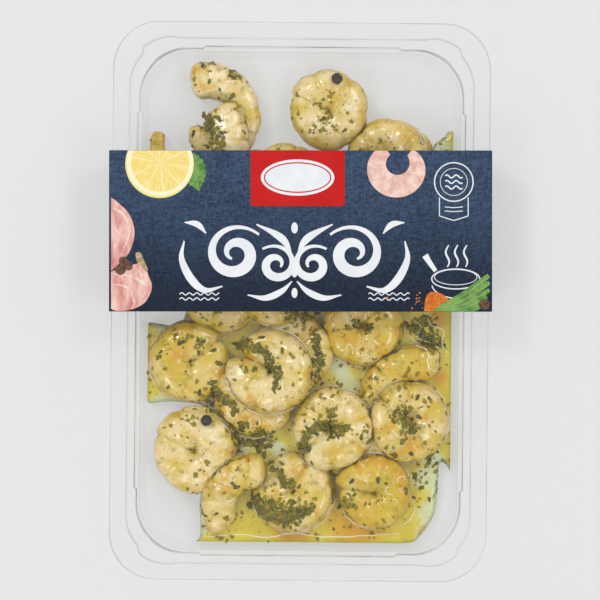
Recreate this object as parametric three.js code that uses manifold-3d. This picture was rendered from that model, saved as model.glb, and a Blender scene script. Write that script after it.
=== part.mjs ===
// A sealed retail tray of peeled, marinated shrimp. A clear thermoformed tray holds curled shrimp
// in a pool of herb marinade, a flat clear film closes its rim, and a card sleeve wraps its upper half.
// Millimetres, +Z up, +Y along the tray's length. The origin is under the middle of the whole pack,
// in the plane that the sleeve's underside rests on.
import * as THREE from "three";
import { mergeVertices } from "three/addons/utils/BufferGeometryUtils.js";
import Module from "manifold-3d";

const wasm = await Module();
wasm.setup();

// The tray, measured over its rim, and the wall's insets from the rim's edge
const TRAY_WIDTH = 150;
const TRAY_LENGTH = 222;
const TRAY_DEPTH = 26;
const SHEET = 0.6;
const RIM_RADIUS = 18.5;
const WALL_RADIUS = 19.5;
const FLANGE_WIDTH = 6.8;
const STEP_DROP = 2.6;
const STEP_DRAFT = 0.6;
const LEDGE_INSET = 9.9;
const LEDGE_FALL = 0.4;
const SHOULDER_DROP = 8;
const SHOULDER_INSET = 11.6;
const WALL_FOOT_INSET = 13.6;
const WALL_FOOT_HEIGHT = 4.2;
const FLOOR_INSET = 16.4;
const FLOOR_RADIUS = 17;

// Stacking lugs: the wall steps in round each corner, and the flange's inner edge steps out at 45 degrees
const LUG_REACH = 36;
const LUG_DEPTH = 1;
const LUG_EDGE = 0.4;
const CORNER_NOTCH = 1.2;
const CORNER_DEGREES = [0, 15, 30, 44, 46, 60, 75, 90];

// The sleeve is one band of card, folded round the rim and glued under the tray
const CARD = 0.5;
const SLEEVE_LENGTH = 64;
const SLEEVE_CENTRE_Y = 28;
const SLEEVE_SKEW_DEG = 0.5;
const SLEEVE_SIDE_CLEARANCE = 0.6;
const SLEEVE_FOOT = 64;
const SLEEVE_EDGE_DROP = 2.2;
const GLUE_FLAP = 28;
const GLUE_EDGE = 8;

// Clear gaps between pieces that touch
const GAP = 0.3;
const FILM = 0.25;
const FILM_MARGIN = 0.5;

const TRAY_BASE = 2 * CARD + GAP;
const FLOOR = TRAY_BASE + SHEET;
const RIM_TOP = TRAY_BASE + TRAY_DEPTH;
const FILM_BASE = RIM_TOP + GAP / 3;
const SLEEVE_TOP = FILM_BASE + FILM + GAP / 3 + CARD;

// Marinade
const POOL_DEPTH = 3.6;
const POOL_CONTACT_GAP = 0.4;

// Shrimp bodies: lengthwise stations from head to tail, and the shape of a cross-section
const RING_STATIONS = [0, 0.02, 0.08, 1 / 6, 1 / 4, 1 / 3, 5 / 12, 1 / 2, 7 / 12, 2 / 3, 3 / 4, 5 / 6, 0.94, 1];
const SECTION_SIDES = 9;
const BODY_SEGMENTS = 6;
const SEGMENT_RELIEF = 0.045;
const FLATNESS = 0.78;
const TAPER_POWER = 1.5;
const NECK_SHARE = 0.14;
const NECK_END = 0.2;
const CAP_SHARE = 0.7;

// How a shrimp settles on those laid before it
const DRAPE_NODES = 13;
const CONTACT_REACH = 0.86;
const SOFTNESS = 0.6;
const SAG_PER_NODE = 0.35;
const SMOOTHING_PASSES = 6;
const BACK_SAMPLES = 60;

// Herb flakes and peppercorns that lie on the shrimp: place seen from above, and direction in degrees
const FLAKE_SIZE = [3, 1.3, 0.9];
const FLAKES = [
  [-40, 94.5, 80], [-28, 90, 20], [-32, 67, 100], [-43.5, 67.5, 20], [-24.5, -74.5, -60],
  [-10.5, -83.5, 20], [0.5, -84, 60], [45, -60.5, 90], [28.5, -10.5, 110], [22, -9, -20],
  [-47.5, -17, 90], [-34.5, -20, 10], [-40, -37, 60], [7.5, -21, 10], [-15, -14.5, -15], [-23, -52, 0],
  [21.5, -71.5, -80], [47.5, -38, -40],
];
const PEPPERCORN_RADIUS = 2.3;
const PEPPERCORNS = [[14, 89.5], [-37, -48]];
const TOPPING_SINK = 0.35;

// Each shrimp, in the order that they were laid. at: middle of its curl, seen from above. head: direction
// of its thick end from there, in degrees. turn: degrees that the body runs on from its head, positive
// anticlockwise. outer: radius of its back, at head and tail. girth: half of its depth from back to belly,
// at head and tail.
const SHRIMPS = [
  { at: [-41, 60], head: -93, turn: -114, outer: [22, 20.5], girth: [6, 2.4] },
  { at: [36, 56], head: -82, turn: 152, outer: [20.5, 17.5], girth: [7.4, 4] },
  { at: [35, 58], head: -160, turn: -335, outer: [16.5, 15.5], girth: [8, 6.8] },
  { at: [-5.5, 47], head: -170, turn: -335, outer: [17, 15.5], girth: [8.2, 6.4] },
  { at: [48.5, 27.5], head: -30, turn: 325, outer: [16.5, 14.5], girth: [8, 6] },
  { at: [-52, 34], head: -145, turn: -325, outer: [15.5, 13.5], girth: [7.6, 5.8] },
  { at: [17.5, 43], head: 145, turn: -320, outer: [15.5, 13.5], girth: [7.6, 5.8] },
  { at: [-25.5, 34.5], head: 115, turn: -320, outer: [15, 13], girth: [7.4, 5.4] },
  { at: [29.5, 15], head: 120, turn: -325, outer: [16, 14], girth: [7.8, 6] },
  { at: [0, 23.5], head: 140, turn: -320, outer: [15.5, 13.5], girth: [7.6, 5.6] },
  { at: [-49, 14.5], head: 130, turn: -325, outer: [15.5, 13.5], girth: [7.6, 5.6] },
  { at: [-43.8, -24.6], head: 28, turn: 338, outer: [16.8, 16.4], girth: [8.4, 7.4] },
  { at: [25.5, -9.5], head: 55, turn: -340, outer: [16.5, 16], girth: [8.2, 7.4] },
  { at: [46.5, -40.5], head: 56, turn: 165, outer: [24, 22], girth: [7.6, 6.4] },
  { at: [-17.5, -38.5], head: 125, turn: 325, outer: [16.5, 16], girth: [7.8, 6.6] },
  { at: [-3, -20], head: 180, turn: -265, outer: [16, 17], girth: [7.2, 6.8] },
  { at: [22, -57], head: 40, turn: -265, outer: [15, 15], girth: [7.2, 6] },
  { at: [-2, -76.5], head: 75, turn: -338, outer: [17, 16.6], girth: [8.4, 7.6] },
  { at: [30.2, -76.3], head: 185, turn: -340, outer: [15.6, 15], girth: [7.7, 7.2] },
  { at: [-42, -60.4], head: 170, turn: -350, outer: [17.8, 17.2], girth: [8.7, 7.8] },
  { at: [-40, 58], head: 130, turn: -243, outer: [13, 11], girth: [5.6, 4.2] },
  { at: [-38.5, 74], head: 115, turn: -163, outer: [22, 22], girth: [7.8, 4.4] },
  { at: [-43.5, 64.5], head: 56, turn: -116, outer: [22.6, 22], girth: [7.6, 6.8] },
  { at: [10.5, 77], head: 170, turn: -352, outer: [16.5, 16], girth: [8.1, 7] },
  { at: [-30.5, 4.5], head: 145, turn: 330, outer: [17.5, 16.5], girth: [8.6, 7.4] },
  { at: [-9.5, 5], head: 175, turn: 330, outer: [15.5, 14.5], girth: [7.7, 6.7] },
  { at: [44, -47.8], head: 150, turn: -338, outer: [16.5, 16.2], girth: [7.8, 7.2] },
  { at: [13.2, -51], head: -148, turn: 330, outer: [17, 16.6], girth: [8.4, 7] },
  { at: [-17.5, -82], head: 72, turn: 150, outer: [20.6, 21.4], girth: [7.2, 6.8] },
  { at: [-12, -28], head: -188, turn: 322, outer: [17, 17.4], girth: [8.5, 7] },
];

// The pool's edge, clear of the walls where the floor stays dry and past them where it runs up to them
const POOL_EDGE = [
  [-71.5, -10.5], [-50.5, -10], [-46, -4.5], [-41.5, 6], [-38, 24], [-31.5, 44], [-24.5, 58.5],
  [-18, 61.5], [-11.5, 59.5], [11.5, 57], [39, 56.5], [52, 62], [56.5, 66], [69, 66], [70, -64.5],
  [58, -64], [56.5, -74.5], [55, -86], [48.5, -96], [41, -108], [1, -108.5], [-42.5, -109],
  [-39.5, -95], [-39.5, -79], [-33, -70.5], [-25, -60], [-29.5, -49.5], [-39.5, -42.5], [-51, -41],
  [-71, -39.5],
];

// A closed geometry as a solid that can be joined and cut
function solidOf(geometry) {
  const bare = new THREE.BufferGeometry();
  bare.setAttribute("position", geometry.getAttribute("position"));
  bare.setIndex(geometry.getIndex());
  const merged = mergeVertices(bare, 1e-4);
  const corners = merged.getIndex().array;
  const kept = [];
  for (let i = 0; i < corners.length; i += 3) {
    const [a, b, c] = corners.slice(i, i + 3);
    if (a !== b && b !== c && c !== a) kept.push(a, b, c);
  }
  const vertProperties = merged.getAttribute("position").array;
  return new wasm.Manifold(new wasm.Mesh({ numProp: 3, vertProperties, triVerts: new Uint32Array(kept) }));
}

function geometryOf(solid) {
  const { numProp, vertProperties, triVerts } = solid.getMesh();
  const geometry = new THREE.BufferGeometry();
  geometry.setAttribute("position", new THREE.BufferAttribute(vertProperties, numProp));
  geometry.setIndex(new THREE.BufferAttribute(triVerts, 1));
  geometry.computeVertexNormals();
  return geometry;
}

// The biggest of the bodies that a cut leaves
function biggestBody(solid) {
  return solid.decompose().reduce((best, body) => (body.volume() > best.volume() ? body : best));
}

// Stations round a quarter of the rim, from the long side to the short side. Each gives the point of
// a loop with that inset and corner radius, and says whether the stacking lug stands there.
function quarterStations() {
  const halfWidth = TRAY_WIDTH / 2;
  const halfLength = TRAY_LENGTH / 2;
  const stations = [];
  for (const side of [-1, 1]) {
    const along = halfLength - LUG_REACH + side * LUG_EDGE;
    stations.push({ lug: side > 0, angle: 0, at: (inset) => [halfWidth - inset, along] });
  }
  for (const degrees of CORNER_DEGREES) {
    const angle = THREE.MathUtils.degToRad(degrees);
    const at = (inset, radius) => [
      halfWidth - inset - radius + radius * Math.cos(angle),
      halfLength - inset - radius + radius * Math.sin(angle),
    ];
    stations.push({ lug: true, angle, at });
  }
  for (const side of [-1, 1]) {
    const along = halfWidth - LUG_REACH - side * LUG_EDGE;
    stations.push({ lug: side < 0, angle: Math.PI / 2, at: (inset) => [along, halfLength - inset] });
  }
  return stations;
}

// All stations, anticlockwise, as four mirrored quarters
function rimStations() {
  const quarter = quarterStations();
  const mirrored = (signX, signY) =>
    quarter.map(({ lug, angle, at }) => ({
      lug,
      angle,
      at: (inset, radius) => {
        const [x, y] = at(inset, radius);
        return [signX * x, signY * y];
      },
    }));
  return [
    ...mirrored(1, 1),
    ...mirrored(-1, 1).reverse(),
    ...mirrored(-1, -1),
    ...mirrored(1, -1).reverse(),
  ];
}

// A closed solid of loops round the tray. Each row of the profile is one loop, and an inset of
// null is the point where the profile meets the middle.
function trayLoft(profile) {
  const stations = rimStations();
  const lathe = new THREE.LatheGeometry(profile.map((row, i) => new THREE.Vector2(1, i)), stations.length);
  const position = lathe.getAttribute("position");
  for (let i = 0; i <= stations.length; i++) {
    const { lug, angle, at } = stations[i % stations.length];
    const notch = angle > Math.PI / 4 ? CORNER_NOTCH * Math.cos(2 * angle - Math.PI / 2) : 0;
    profile.forEach(({ inset, z, radius = WALL_RADIUS, lugged = 0, notched = 0 }, j) => {
      const moved = inset + (lug ? lugged * LUG_DEPTH : 0) - notched * notch;
      const [x, y] = inset === null ? [0, 0] : at(moved, radius);
      position.setXYZ(i * profile.length + j, x, y, z);
    });
  }
  return solidOf(lathe);
}

// The loops down the inside of the wall, from the flange's inner edge to the floor. out and down lead
// from each loop to the one behind it on the outside of the sheet.
function innerProfile(offset) {
  const top = RIM_TOP;
  return [
    { inset: FLANGE_WIDTH + offset, z: top - offset, notched: 1 },
    { inset: FLANGE_WIDTH + STEP_DRAFT + offset, z: top - STEP_DROP, notched: 1 },
    { inset: LEDGE_INSET + offset, z: top - STEP_DROP - LEDGE_FALL, lugged: 1 },
    { inset: LEDGE_INSET + LEDGE_FALL + offset, z: top - SHOULDER_DROP, lugged: 1 },
    { inset: SHOULDER_INSET + offset, z: top - SHOULDER_DROP - SHEET },
    { inset: WALL_FOOT_INSET + offset, z: TRAY_BASE + WALL_FOOT_HEIGHT, down: SHEET / 3 },
    { inset: WALL_FOOT_INSET + offset + SHEET, z: TRAY_BASE + WALL_FOOT_HEIGHT / 2, out: SHEET / 2 },
    { inset: FLOOR_INSET + offset, radius: FLOOR_RADIUS, z: FLOOR + offset, out: SHEET / 2 },
    { inset: null, z: FLOOR + offset },
  ];
}

function traySolid() {
  const inside = innerProfile(0);
  const outside = inside.slice(0, -1).map(({ out = SHEET, down = SHEET, ...row }) => ({
    ...row,
    inset: row.inset - out,
    z: row.z - down,
  }));
  const edge = { inset: 0, radius: RIM_RADIUS };
  return trayLoft([
    { inset: null, z: TRAY_BASE },
    ...outside.reverse(),
    { ...edge, z: RIM_TOP - SHEET },
    { ...edge, z: RIM_TOP },
    ...inside,
  ]);
}

// The room inside the tray, a gap clear of it
function cavitySolid() {
  return trayLoft([...innerProfile(GAP).reverse(), { inset: null, z: RIM_TOP - GAP }]);
}

function filmGeometry() {
  const halfWidth = TRAY_WIDTH / 2 - FILM_MARGIN;
  const halfLength = TRAY_LENGTH / 2 - FILM_MARGIN;
  const radius = RIM_RADIUS - FILM_MARGIN;
  const outline = new THREE.Shape();
  outline.absarc(halfWidth - radius, halfLength - radius, radius, 0, Math.PI / 2);
  outline.absarc(radius - halfWidth, halfLength - radius, radius, Math.PI / 2, Math.PI);
  outline.absarc(radius - halfWidth, radius - halfLength, radius, Math.PI, 1.5 * Math.PI);
  outline.absarc(halfWidth - radius, radius - halfLength, radius, 1.5 * Math.PI, 2 * Math.PI);
  return new THREE.ExtrudeGeometry(outline, { depth: FILM, curveSegments: 4, bevelEnabled: false });
}

// The band's cross-section, drawn in X and Z. The free end of the underside lies over a glue flap
// that the right side turns in above it.
function sleeveGeometry() {
  const half = TRAY_WIDTH / 2 + SLEEVE_SIDE_CLEARANCE + CARD;
  const inner = half - CARD;
  const edge = SLEEVE_TOP - SLEEVE_EDGE_DROP;
  const outline = new THREE.Shape([
    new THREE.Vector2(-SLEEVE_FOOT, 0),
    new THREE.Vector2(SLEEVE_FOOT - GLUE_EDGE, 0),
    new THREE.Vector2(SLEEVE_FOOT - GLUE_EDGE, CARD),
    new THREE.Vector2(SLEEVE_FOOT, CARD),
    new THREE.Vector2(half, edge),
    new THREE.Vector2(half, SLEEVE_TOP - CARD),
    new THREE.Vector2(half - CARD, SLEEVE_TOP),
    new THREE.Vector2(CARD - half, SLEEVE_TOP),
    new THREE.Vector2(-half, SLEEVE_TOP - CARD),
    new THREE.Vector2(-half, edge),
  ]);
  outline.holes.push(
    new THREE.Path([
      new THREE.Vector2(CARD - SLEEVE_FOOT, CARD),
      new THREE.Vector2(-inner, edge),
      new THREE.Vector2(-inner, SLEEVE_TOP - CARD),
      new THREE.Vector2(inner, SLEEVE_TOP - CARD),
      new THREE.Vector2(inner, edge),
      new THREE.Vector2(SLEEVE_FOOT - CARD, 2 * CARD),
      new THREE.Vector2(SLEEVE_FOOT - GLUE_FLAP, 2 * CARD),
      new THREE.Vector2(SLEEVE_FOOT - GLUE_FLAP, CARD),
    ]),
  );
  const band = new THREE.ExtrudeGeometry(outline, { depth: SLEEVE_LENGTH, bevelEnabled: false });
  return band.rotateX(Math.PI / 2).translate(0, SLEEVE_LENGTH / 2, 0);
}

// Half of the body's depth at a share of its length, which narrows at the neck and towards the tail
function girthAt({ girth: [head, tail] }, share) {
  const neck = NECK_SHARE * Math.max(0, 1 - share / NECK_END) ** 2;
  return THREE.MathUtils.lerp(head, tail, share ** TAPER_POWER) - neck * head;
}

// The middle line at a share of its length, seen from above
function planAt(shrimp, share) {
  const angle = THREE.MathUtils.degToRad(shrimp.head + shrimp.turn * share);
  const radius = THREE.MathUtils.lerp(...shrimp.outer, share) - girthAt(shrimp, share);
  const [x, y] = shrimp.at;
  return new THREE.Vector3(x + radius * Math.cos(angle), y + radius * Math.sin(angle), 0);
}

// The least-squares plane through points, as a function of a point's place
function planeThrough(points) {
  const mean = points.reduce((sum, p) => sum.add(p), new THREE.Vector3()).divideScalar(points.length);
  let xx = 0;
  let xy = 0;
  let yy = 0;
  let xz = 0;
  let yz = 0;
  for (const point of points) {
    const { x, y, z } = point.clone().sub(mean);
    xx += x * x;
    xy += x * y;
    yy += y * y;
    xz += x * z;
    yz += y * z;
  }
  const scale = 1 / (xx * yy - xy * xy);
  const slopeX = (xz * yy - yz * xy) * scale;
  const slopeY = (yz * xx - xz * xy) * scale;
  return ({ x, y }) => mean.z + slopeX * (x - mean.x) + slopeY * (y - mean.y);
}

// Finds how high each node of a shrimp's middle line lies on the floor and on the shrimp under it
function settle(shrimp, laid) {
  const nodes = Array.from({ length: DRAPE_NODES }, (_, i) => {
    const share = i / (DRAPE_NODES - 1);
    const girth = girthAt(shrimp, share);
    const point = planAt(shrimp, share);
    point.z = FLOOR + GAP + girth * FLATNESS;
    return { point, girth };
  });
  for (const { point, girth } of nodes) {
    for (const below of laid.flatMap((other) => other.nodes)) {
      const reach = (girth + below.girth) * CONTACT_REACH;
      const apart = Math.hypot(point.x - below.point.x, point.y - below.point.y) / reach;
      if (apart >= 1) continue;
      const rise = (girth + below.girth) * FLATNESS * SOFTNESS * Math.sqrt(1 - apart * apart);
      point.z = Math.max(point.z, below.point.z + rise);
    }
  }
  const plane = planeThrough(nodes.map((node) => node.point));
  for (const { point } of nodes) point.z = Math.max(point.z, plane(point));
  for (let pass = 0; pass < SMOOTHING_PASSES; pass++) {
    for (let i = 1; i < nodes.length - 1; i++) {
      const between = (nodes[i - 1].point.z + nodes[i + 1].point.z) / 2;
      nodes[i].point.z = Math.max(nodes[i].point.z, between - SAG_PER_NODE);
    }
  }
  for (const { point, girth } of nodes) {
    point.z = Math.min(point.z, RIM_TOP - GAP - girth * FLATNESS);
  }
  return { ...shrimp, nodes, spine: new THREE.CatmullRomCurve3(nodes.map((node) => node.point)) };
}

// The rings of a sphere laid along a shrimp's middle line. cornersAt gives the corners of one ring,
// as distances across and up, for a half depth. grown is how far its ends stand past the shrimp's.
function tubeSolid(shrimp, sides, grown, cornersAt) {
  const lastRow = RING_STATIONS.length - 1;
  const sphere = new THREE.SphereGeometry(1, sides, lastRow);
  const position = sphere.getAttribute("position");
  const uv = sphere.getAttribute("uv");
  const length = shrimp.spine.getLength();
  for (let i = 0; i < position.count; i++) {
    const share = RING_STATIONS[Math.round((1 - uv.getY(i)) * lastRow)];
    const side = (Math.round(uv.getX(i) * sides) + sides) % sides;
    const girth = girthAt(shrimp, share);
    const toEnd = (Math.min(share, 1 - share) * length) / (girth * CAP_SHARE);
    const cap = toEnd < 1 ? Math.sqrt(1 - (1 - toEnd) ** 2) : 1;
    const relief = 1 - SEGMENT_RELIEF * Math.cos(2 * Math.PI * BODY_SEGMENTS * share);
    const [depth, height] = cornersAt(girth * relief)[side];
    const along = shrimp.spine.getTangent(share);
    const across = new THREE.Vector3(along.y, -along.x, 0).normalize();
    const corner = shrimp.spine.getPoint(share).addScaledVector(across, depth * cap);
    corner.addScaledVector(along, Math.sign(share - 0.5) * grown * (1 - cap));
    position.setXYZ(i, corner.x, corner.y, corner.z + height * cap);
  }
  return solidOf(sphere);
}

// A curled, tapered body with six segments, oval in section
function bodySolid(shrimp, grown = 0) {
  return tubeSolid(shrimp, SECTION_SIDES, grown, (girth) =>
    Array.from({ length: SECTION_SIDES }, (_, side) => {
      const angle = (2 * Math.PI * side) / SECTION_SIDES;
      return [(girth + grown) * Math.cos(angle), (girth * FLATNESS + grown) * Math.sin(angle)];
    }),
  );
}

// The same body's trench through the pool, with upright sides
function trenchSolid(shrimp, grown) {
  return tubeSolid(shrimp, 4, grown, (girth) => [
    [girth + grown, -TRAY_DEPTH],
    [girth + grown, TRAY_DEPTH],
    [-girth - grown, TRAY_DEPTH],
    [-girth - grown, -TRAY_DEPTH],
  ]);
}

// The height of a shrimp's back over a place seen from above, and how that back leans there
function backAt(shrimp, x, y) {
  let best = { z: -Infinity };
  for (let i = 0; i <= BACK_SAMPLES; i++) {
    const share = i / BACK_SAMPLES;
    const middle = shrimp.spine.getPoint(share);
    const girth = girthAt(shrimp, share);
    const lean = new THREE.Vector3(x - middle.x, y - middle.y, 0).divideScalar(girth);
    const fall = lean.lengthSq();
    if (fall >= 1) continue;
    const z = middle.z + girth * FLATNESS * Math.sqrt(1 - fall);
    if (z > best.z) best = { z, normal: lean.setZ(Math.sqrt(1 - fall)).normalize() };
  }
  return best;
}

// A topping sunk into the back of whichever shrimp is uppermost at its place
function layTopping(laid, geometry, sink, [x, y, degrees = 0]) {
  const backs = laid.map((shrimp) => backAt(shrimp, x, y));
  const host = backs.reduce((best, back, i) => (back.z > backs[best].z ? i : best), 0);
  const { z, normal } = backs[host];
  const lean = new THREE.Quaternion().setFromUnitVectors(new THREE.Vector3(0, 0, 1), normal);
  geometry.translate(0, 0, -sink).rotateZ(THREE.MathUtils.degToRad(degrees)).applyQuaternion(lean);
  return { host, solid: solidOf(geometry.translate(x, y, z)) };
}

function toppings(laid) {
  return [
    ...FLAKES.map((place) => layTopping(laid, new THREE.BoxGeometry(...FLAKE_SIZE), TOPPING_SINK / 2, place)),
    ...PEPPERCORNS.map((place) => {
      const corn = new THREE.IcosahedronGeometry(PEPPERCORN_RADIUS, 1);
      return layTopping(laid, corn.translate(0, 0, PEPPERCORN_RADIUS), 3 * TOPPING_SINK, place);
    }),
  ];
}

// Lays the shrimp in turn, each on those before it
function layShrimp() {
  return SHRIMPS.reduce((below, shrimp) => [...below, settle(shrimp, below)], []);
}

// All shrimp as solids: kept inside the tray, and pressed in where they lie on the ones before,
// a gap clear of them.
function shrimpSolids(laid, room) {
  const bodies = laid.map((shrimp) => bodySolid(shrimp));
  const grown = laid.map((shrimp) => bodySolid(shrimp, GAP));
  const pressed = bodies.map((body, i) => {
    return biggestBody(grown.slice(0, i).reduce((solid, below) => solid.subtract(below), body.intersect(room)));
  });
  for (const { host, solid } of toppings(laid)) pressed[host] = pressed[host].add(solid.intersect(room));
  return pressed.map(biggestBody);
}

// The pool between the shrimp, level on top
function marinadeSolid(laid, room) {
  const edge = new THREE.SplineCurve([...POOL_EDGE, POOL_EDGE[0]].map(([x, y]) => new THREE.Vector2(x, y)));
  const outline = new THREE.Shape(edge.getPoints(2 * POOL_EDGE.length));
  const pool = new THREE.ExtrudeGeometry(outline, { depth: POOL_DEPTH, bevelEnabled: false });
  const liquid = solidOf(pool.translate(0, 0, FLOOR)).intersect(room);
  return biggestBody(laid.reduce((solid, shrimp) => solid.subtract(trenchSolid(shrimp, POOL_CONTACT_GAP)), liquid));
}

function addPiece(group, name, geometry, material) {
  const piece = new THREE.Mesh(geometry, material);
  piece.name = name;
  group.add(piece);
  return piece;
}

const clearPlastic = new THREE.MeshStandardMaterial({
  color: 0xeef1f0,
  roughness: 0.08,
  metalness: 0,
  transparent: true,
  opacity: 0.3,
});
const printedCard = new THREE.MeshStandardMaterial({ color: 0x2b3a52, roughness: 0.55, metalness: 0 });
const shrimpFlesh = new THREE.MeshStandardMaterial({ color: 0xe2c690, roughness: 0.3, metalness: 0 });
const oilMarinade = new THREE.MeshStandardMaterial({ color: 0xc2ae2c, roughness: 0.1, metalness: 0 });

const pack = new THREE.Group();
addPiece(pack, "tray", geometryOf(traySolid()), clearPlastic);
addPiece(pack, "lid_film", filmGeometry(), clearPlastic).position.z = FILM_BASE;
const sleeve = addPiece(pack, "sleeve", sleeveGeometry(), printedCard);
sleeve.position.y = SLEEVE_CENTRE_Y;
sleeve.rotation.z = THREE.MathUtils.degToRad(SLEEVE_SKEW_DEG);
const laid = layShrimp();
const room = cavitySolid();
addPiece(pack, "marinade", geometryOf(marinadeSolid(laid, room)), oilMarinade);
shrimpSolids(laid, room).forEach((solid, i) => {
  addPiece(pack, `shrimp_${String(i + 1).padStart(2, "0")}`, geometryOf(solid), shrimpFlesh);
});

export default pack;
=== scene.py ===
"""The looks of a sealed tray of peeled, marinated shrimp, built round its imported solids.

A clear tray with a film lid holds thirty curled shrimp in a pool of herb oil. A printed card sleeve
wraps its upper half. Lengths in the classes are millimetres, and meshes are made in metres.
"""

import logging
import math
import random
from dataclasses import dataclass, field
from enum import Enum
from typing import Callable, Sequence

import bmesh
import bpy
import numpy as np
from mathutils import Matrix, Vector, noise
from mathutils.bvhtree import BVHTree


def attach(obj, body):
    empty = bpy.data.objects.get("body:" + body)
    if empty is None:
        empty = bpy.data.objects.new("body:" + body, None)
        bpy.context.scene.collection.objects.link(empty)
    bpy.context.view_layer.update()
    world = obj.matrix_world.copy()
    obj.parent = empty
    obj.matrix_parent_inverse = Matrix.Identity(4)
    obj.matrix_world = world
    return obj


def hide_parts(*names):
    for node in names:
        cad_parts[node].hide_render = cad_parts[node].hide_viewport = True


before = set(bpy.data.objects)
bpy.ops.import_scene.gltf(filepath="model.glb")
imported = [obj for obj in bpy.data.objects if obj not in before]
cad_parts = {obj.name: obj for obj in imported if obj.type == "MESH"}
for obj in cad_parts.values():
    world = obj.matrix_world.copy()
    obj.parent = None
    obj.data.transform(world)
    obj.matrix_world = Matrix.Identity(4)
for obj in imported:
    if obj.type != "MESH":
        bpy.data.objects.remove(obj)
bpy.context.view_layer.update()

LOG = logging.getLogger("shrimp_tray")
MM = 0.001
BODY = "root"
Colour = tuple[float, float, float, float]
Pair = tuple[float, float]


class Slot(Enum):
    """Material slots of the part's record."""

    TRAY = "clear_tray"
    FILM = "clear_film"
    CARD = "printed_card"
    OIL = "marinade"
    FLESH = "shrimp_flesh"


def ink(red: int, green: int, blue: int) -> Colour:
    """Turns a screen colour into the linear colour that a shader takes.

    Args:
        red: Red, from 0 to 255.
        green: Green, from 0 to 255.
        blue: Blue, from 0 to 255.

    Returns:
        Linear red, green, blue and an alpha of 1.
    """
    shares = (value / 255 for value in (red, green, blue))
    linear = [share / 12.92 if share <= 0.04045 else ((share + 0.055) / 1.055) ** 2.4 for share in shares]
    return (*linear, 1.0)


def smooth_step(low: float, high: float, value: np.ndarray) -> np.ndarray:
    """Rises smoothly from 0 at low to 1 at high.

    Args:
        low: Where the rise starts.
        high: Where the rise ends. It may be under low, for a fall.
        value: The values to map.

    Returns:
        Values from 0 to 1.
    """
    share = np.clip((value - low) / (high - low), 0, 1)
    return share * share * (3 - 2 * share)


class Knob:
    """A shader socket that takes part in Python expressions."""

    def __init__(self, graph: "Graph", socket: bpy.types.NodeSocket) -> None:
        """Wraps an output socket of a graph's node."""
        self.graph = graph
        self.socket = socket

    def __add__(self, other: "Knob | float") -> "Knob":
        """Adds."""
        return self.graph.math("ADD", self, other)

    __radd__ = __add__

    def __sub__(self, other: "Knob | float") -> "Knob":
        """Subtracts."""
        return self.graph.math("SUBTRACT", self, other)

    def __rsub__(self, other: float) -> "Knob":
        """Subtracts from a number."""
        return self.graph.math("SUBTRACT", other, self)

    def __mul__(self, other: "Knob | float") -> "Knob":
        """Multiplies."""
        return self.graph.math("MULTIPLY", self, other)

    __rmul__ = __mul__

    def __truediv__(self, other: "Knob | float") -> "Knob":
        """Divides."""
        return self.graph.math("DIVIDE", self, other)

    def __rtruediv__(self, other: float) -> "Knob":
        """Divides a number."""
        return self.graph.math("DIVIDE", other, self)

    def __pow__(self, power: float) -> "Knob":
        """Raises to a power."""
        return self.graph.math("POWER", self, power)

    def clamp(self) -> "Knob":
        """Keeps the value between 0 and 1."""
        return self.graph.math("ADD", self, 0.0, clamp=True)

    def rise(self, low: float, high: float) -> "Knob":
        """Rises smoothly from 0 at low to 1 at high.

        Args:
            low: Where the rise starts.
            high: Where the rise ends.

        Returns:
            The mapped value.
        """
        settings = {"interpolation_type": "SMOOTHSTEP"}
        values = {"Value": self, "From Min": low, "From Max": high}
        return self.graph.node("ShaderNodeMapRange", settings, values)


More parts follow.
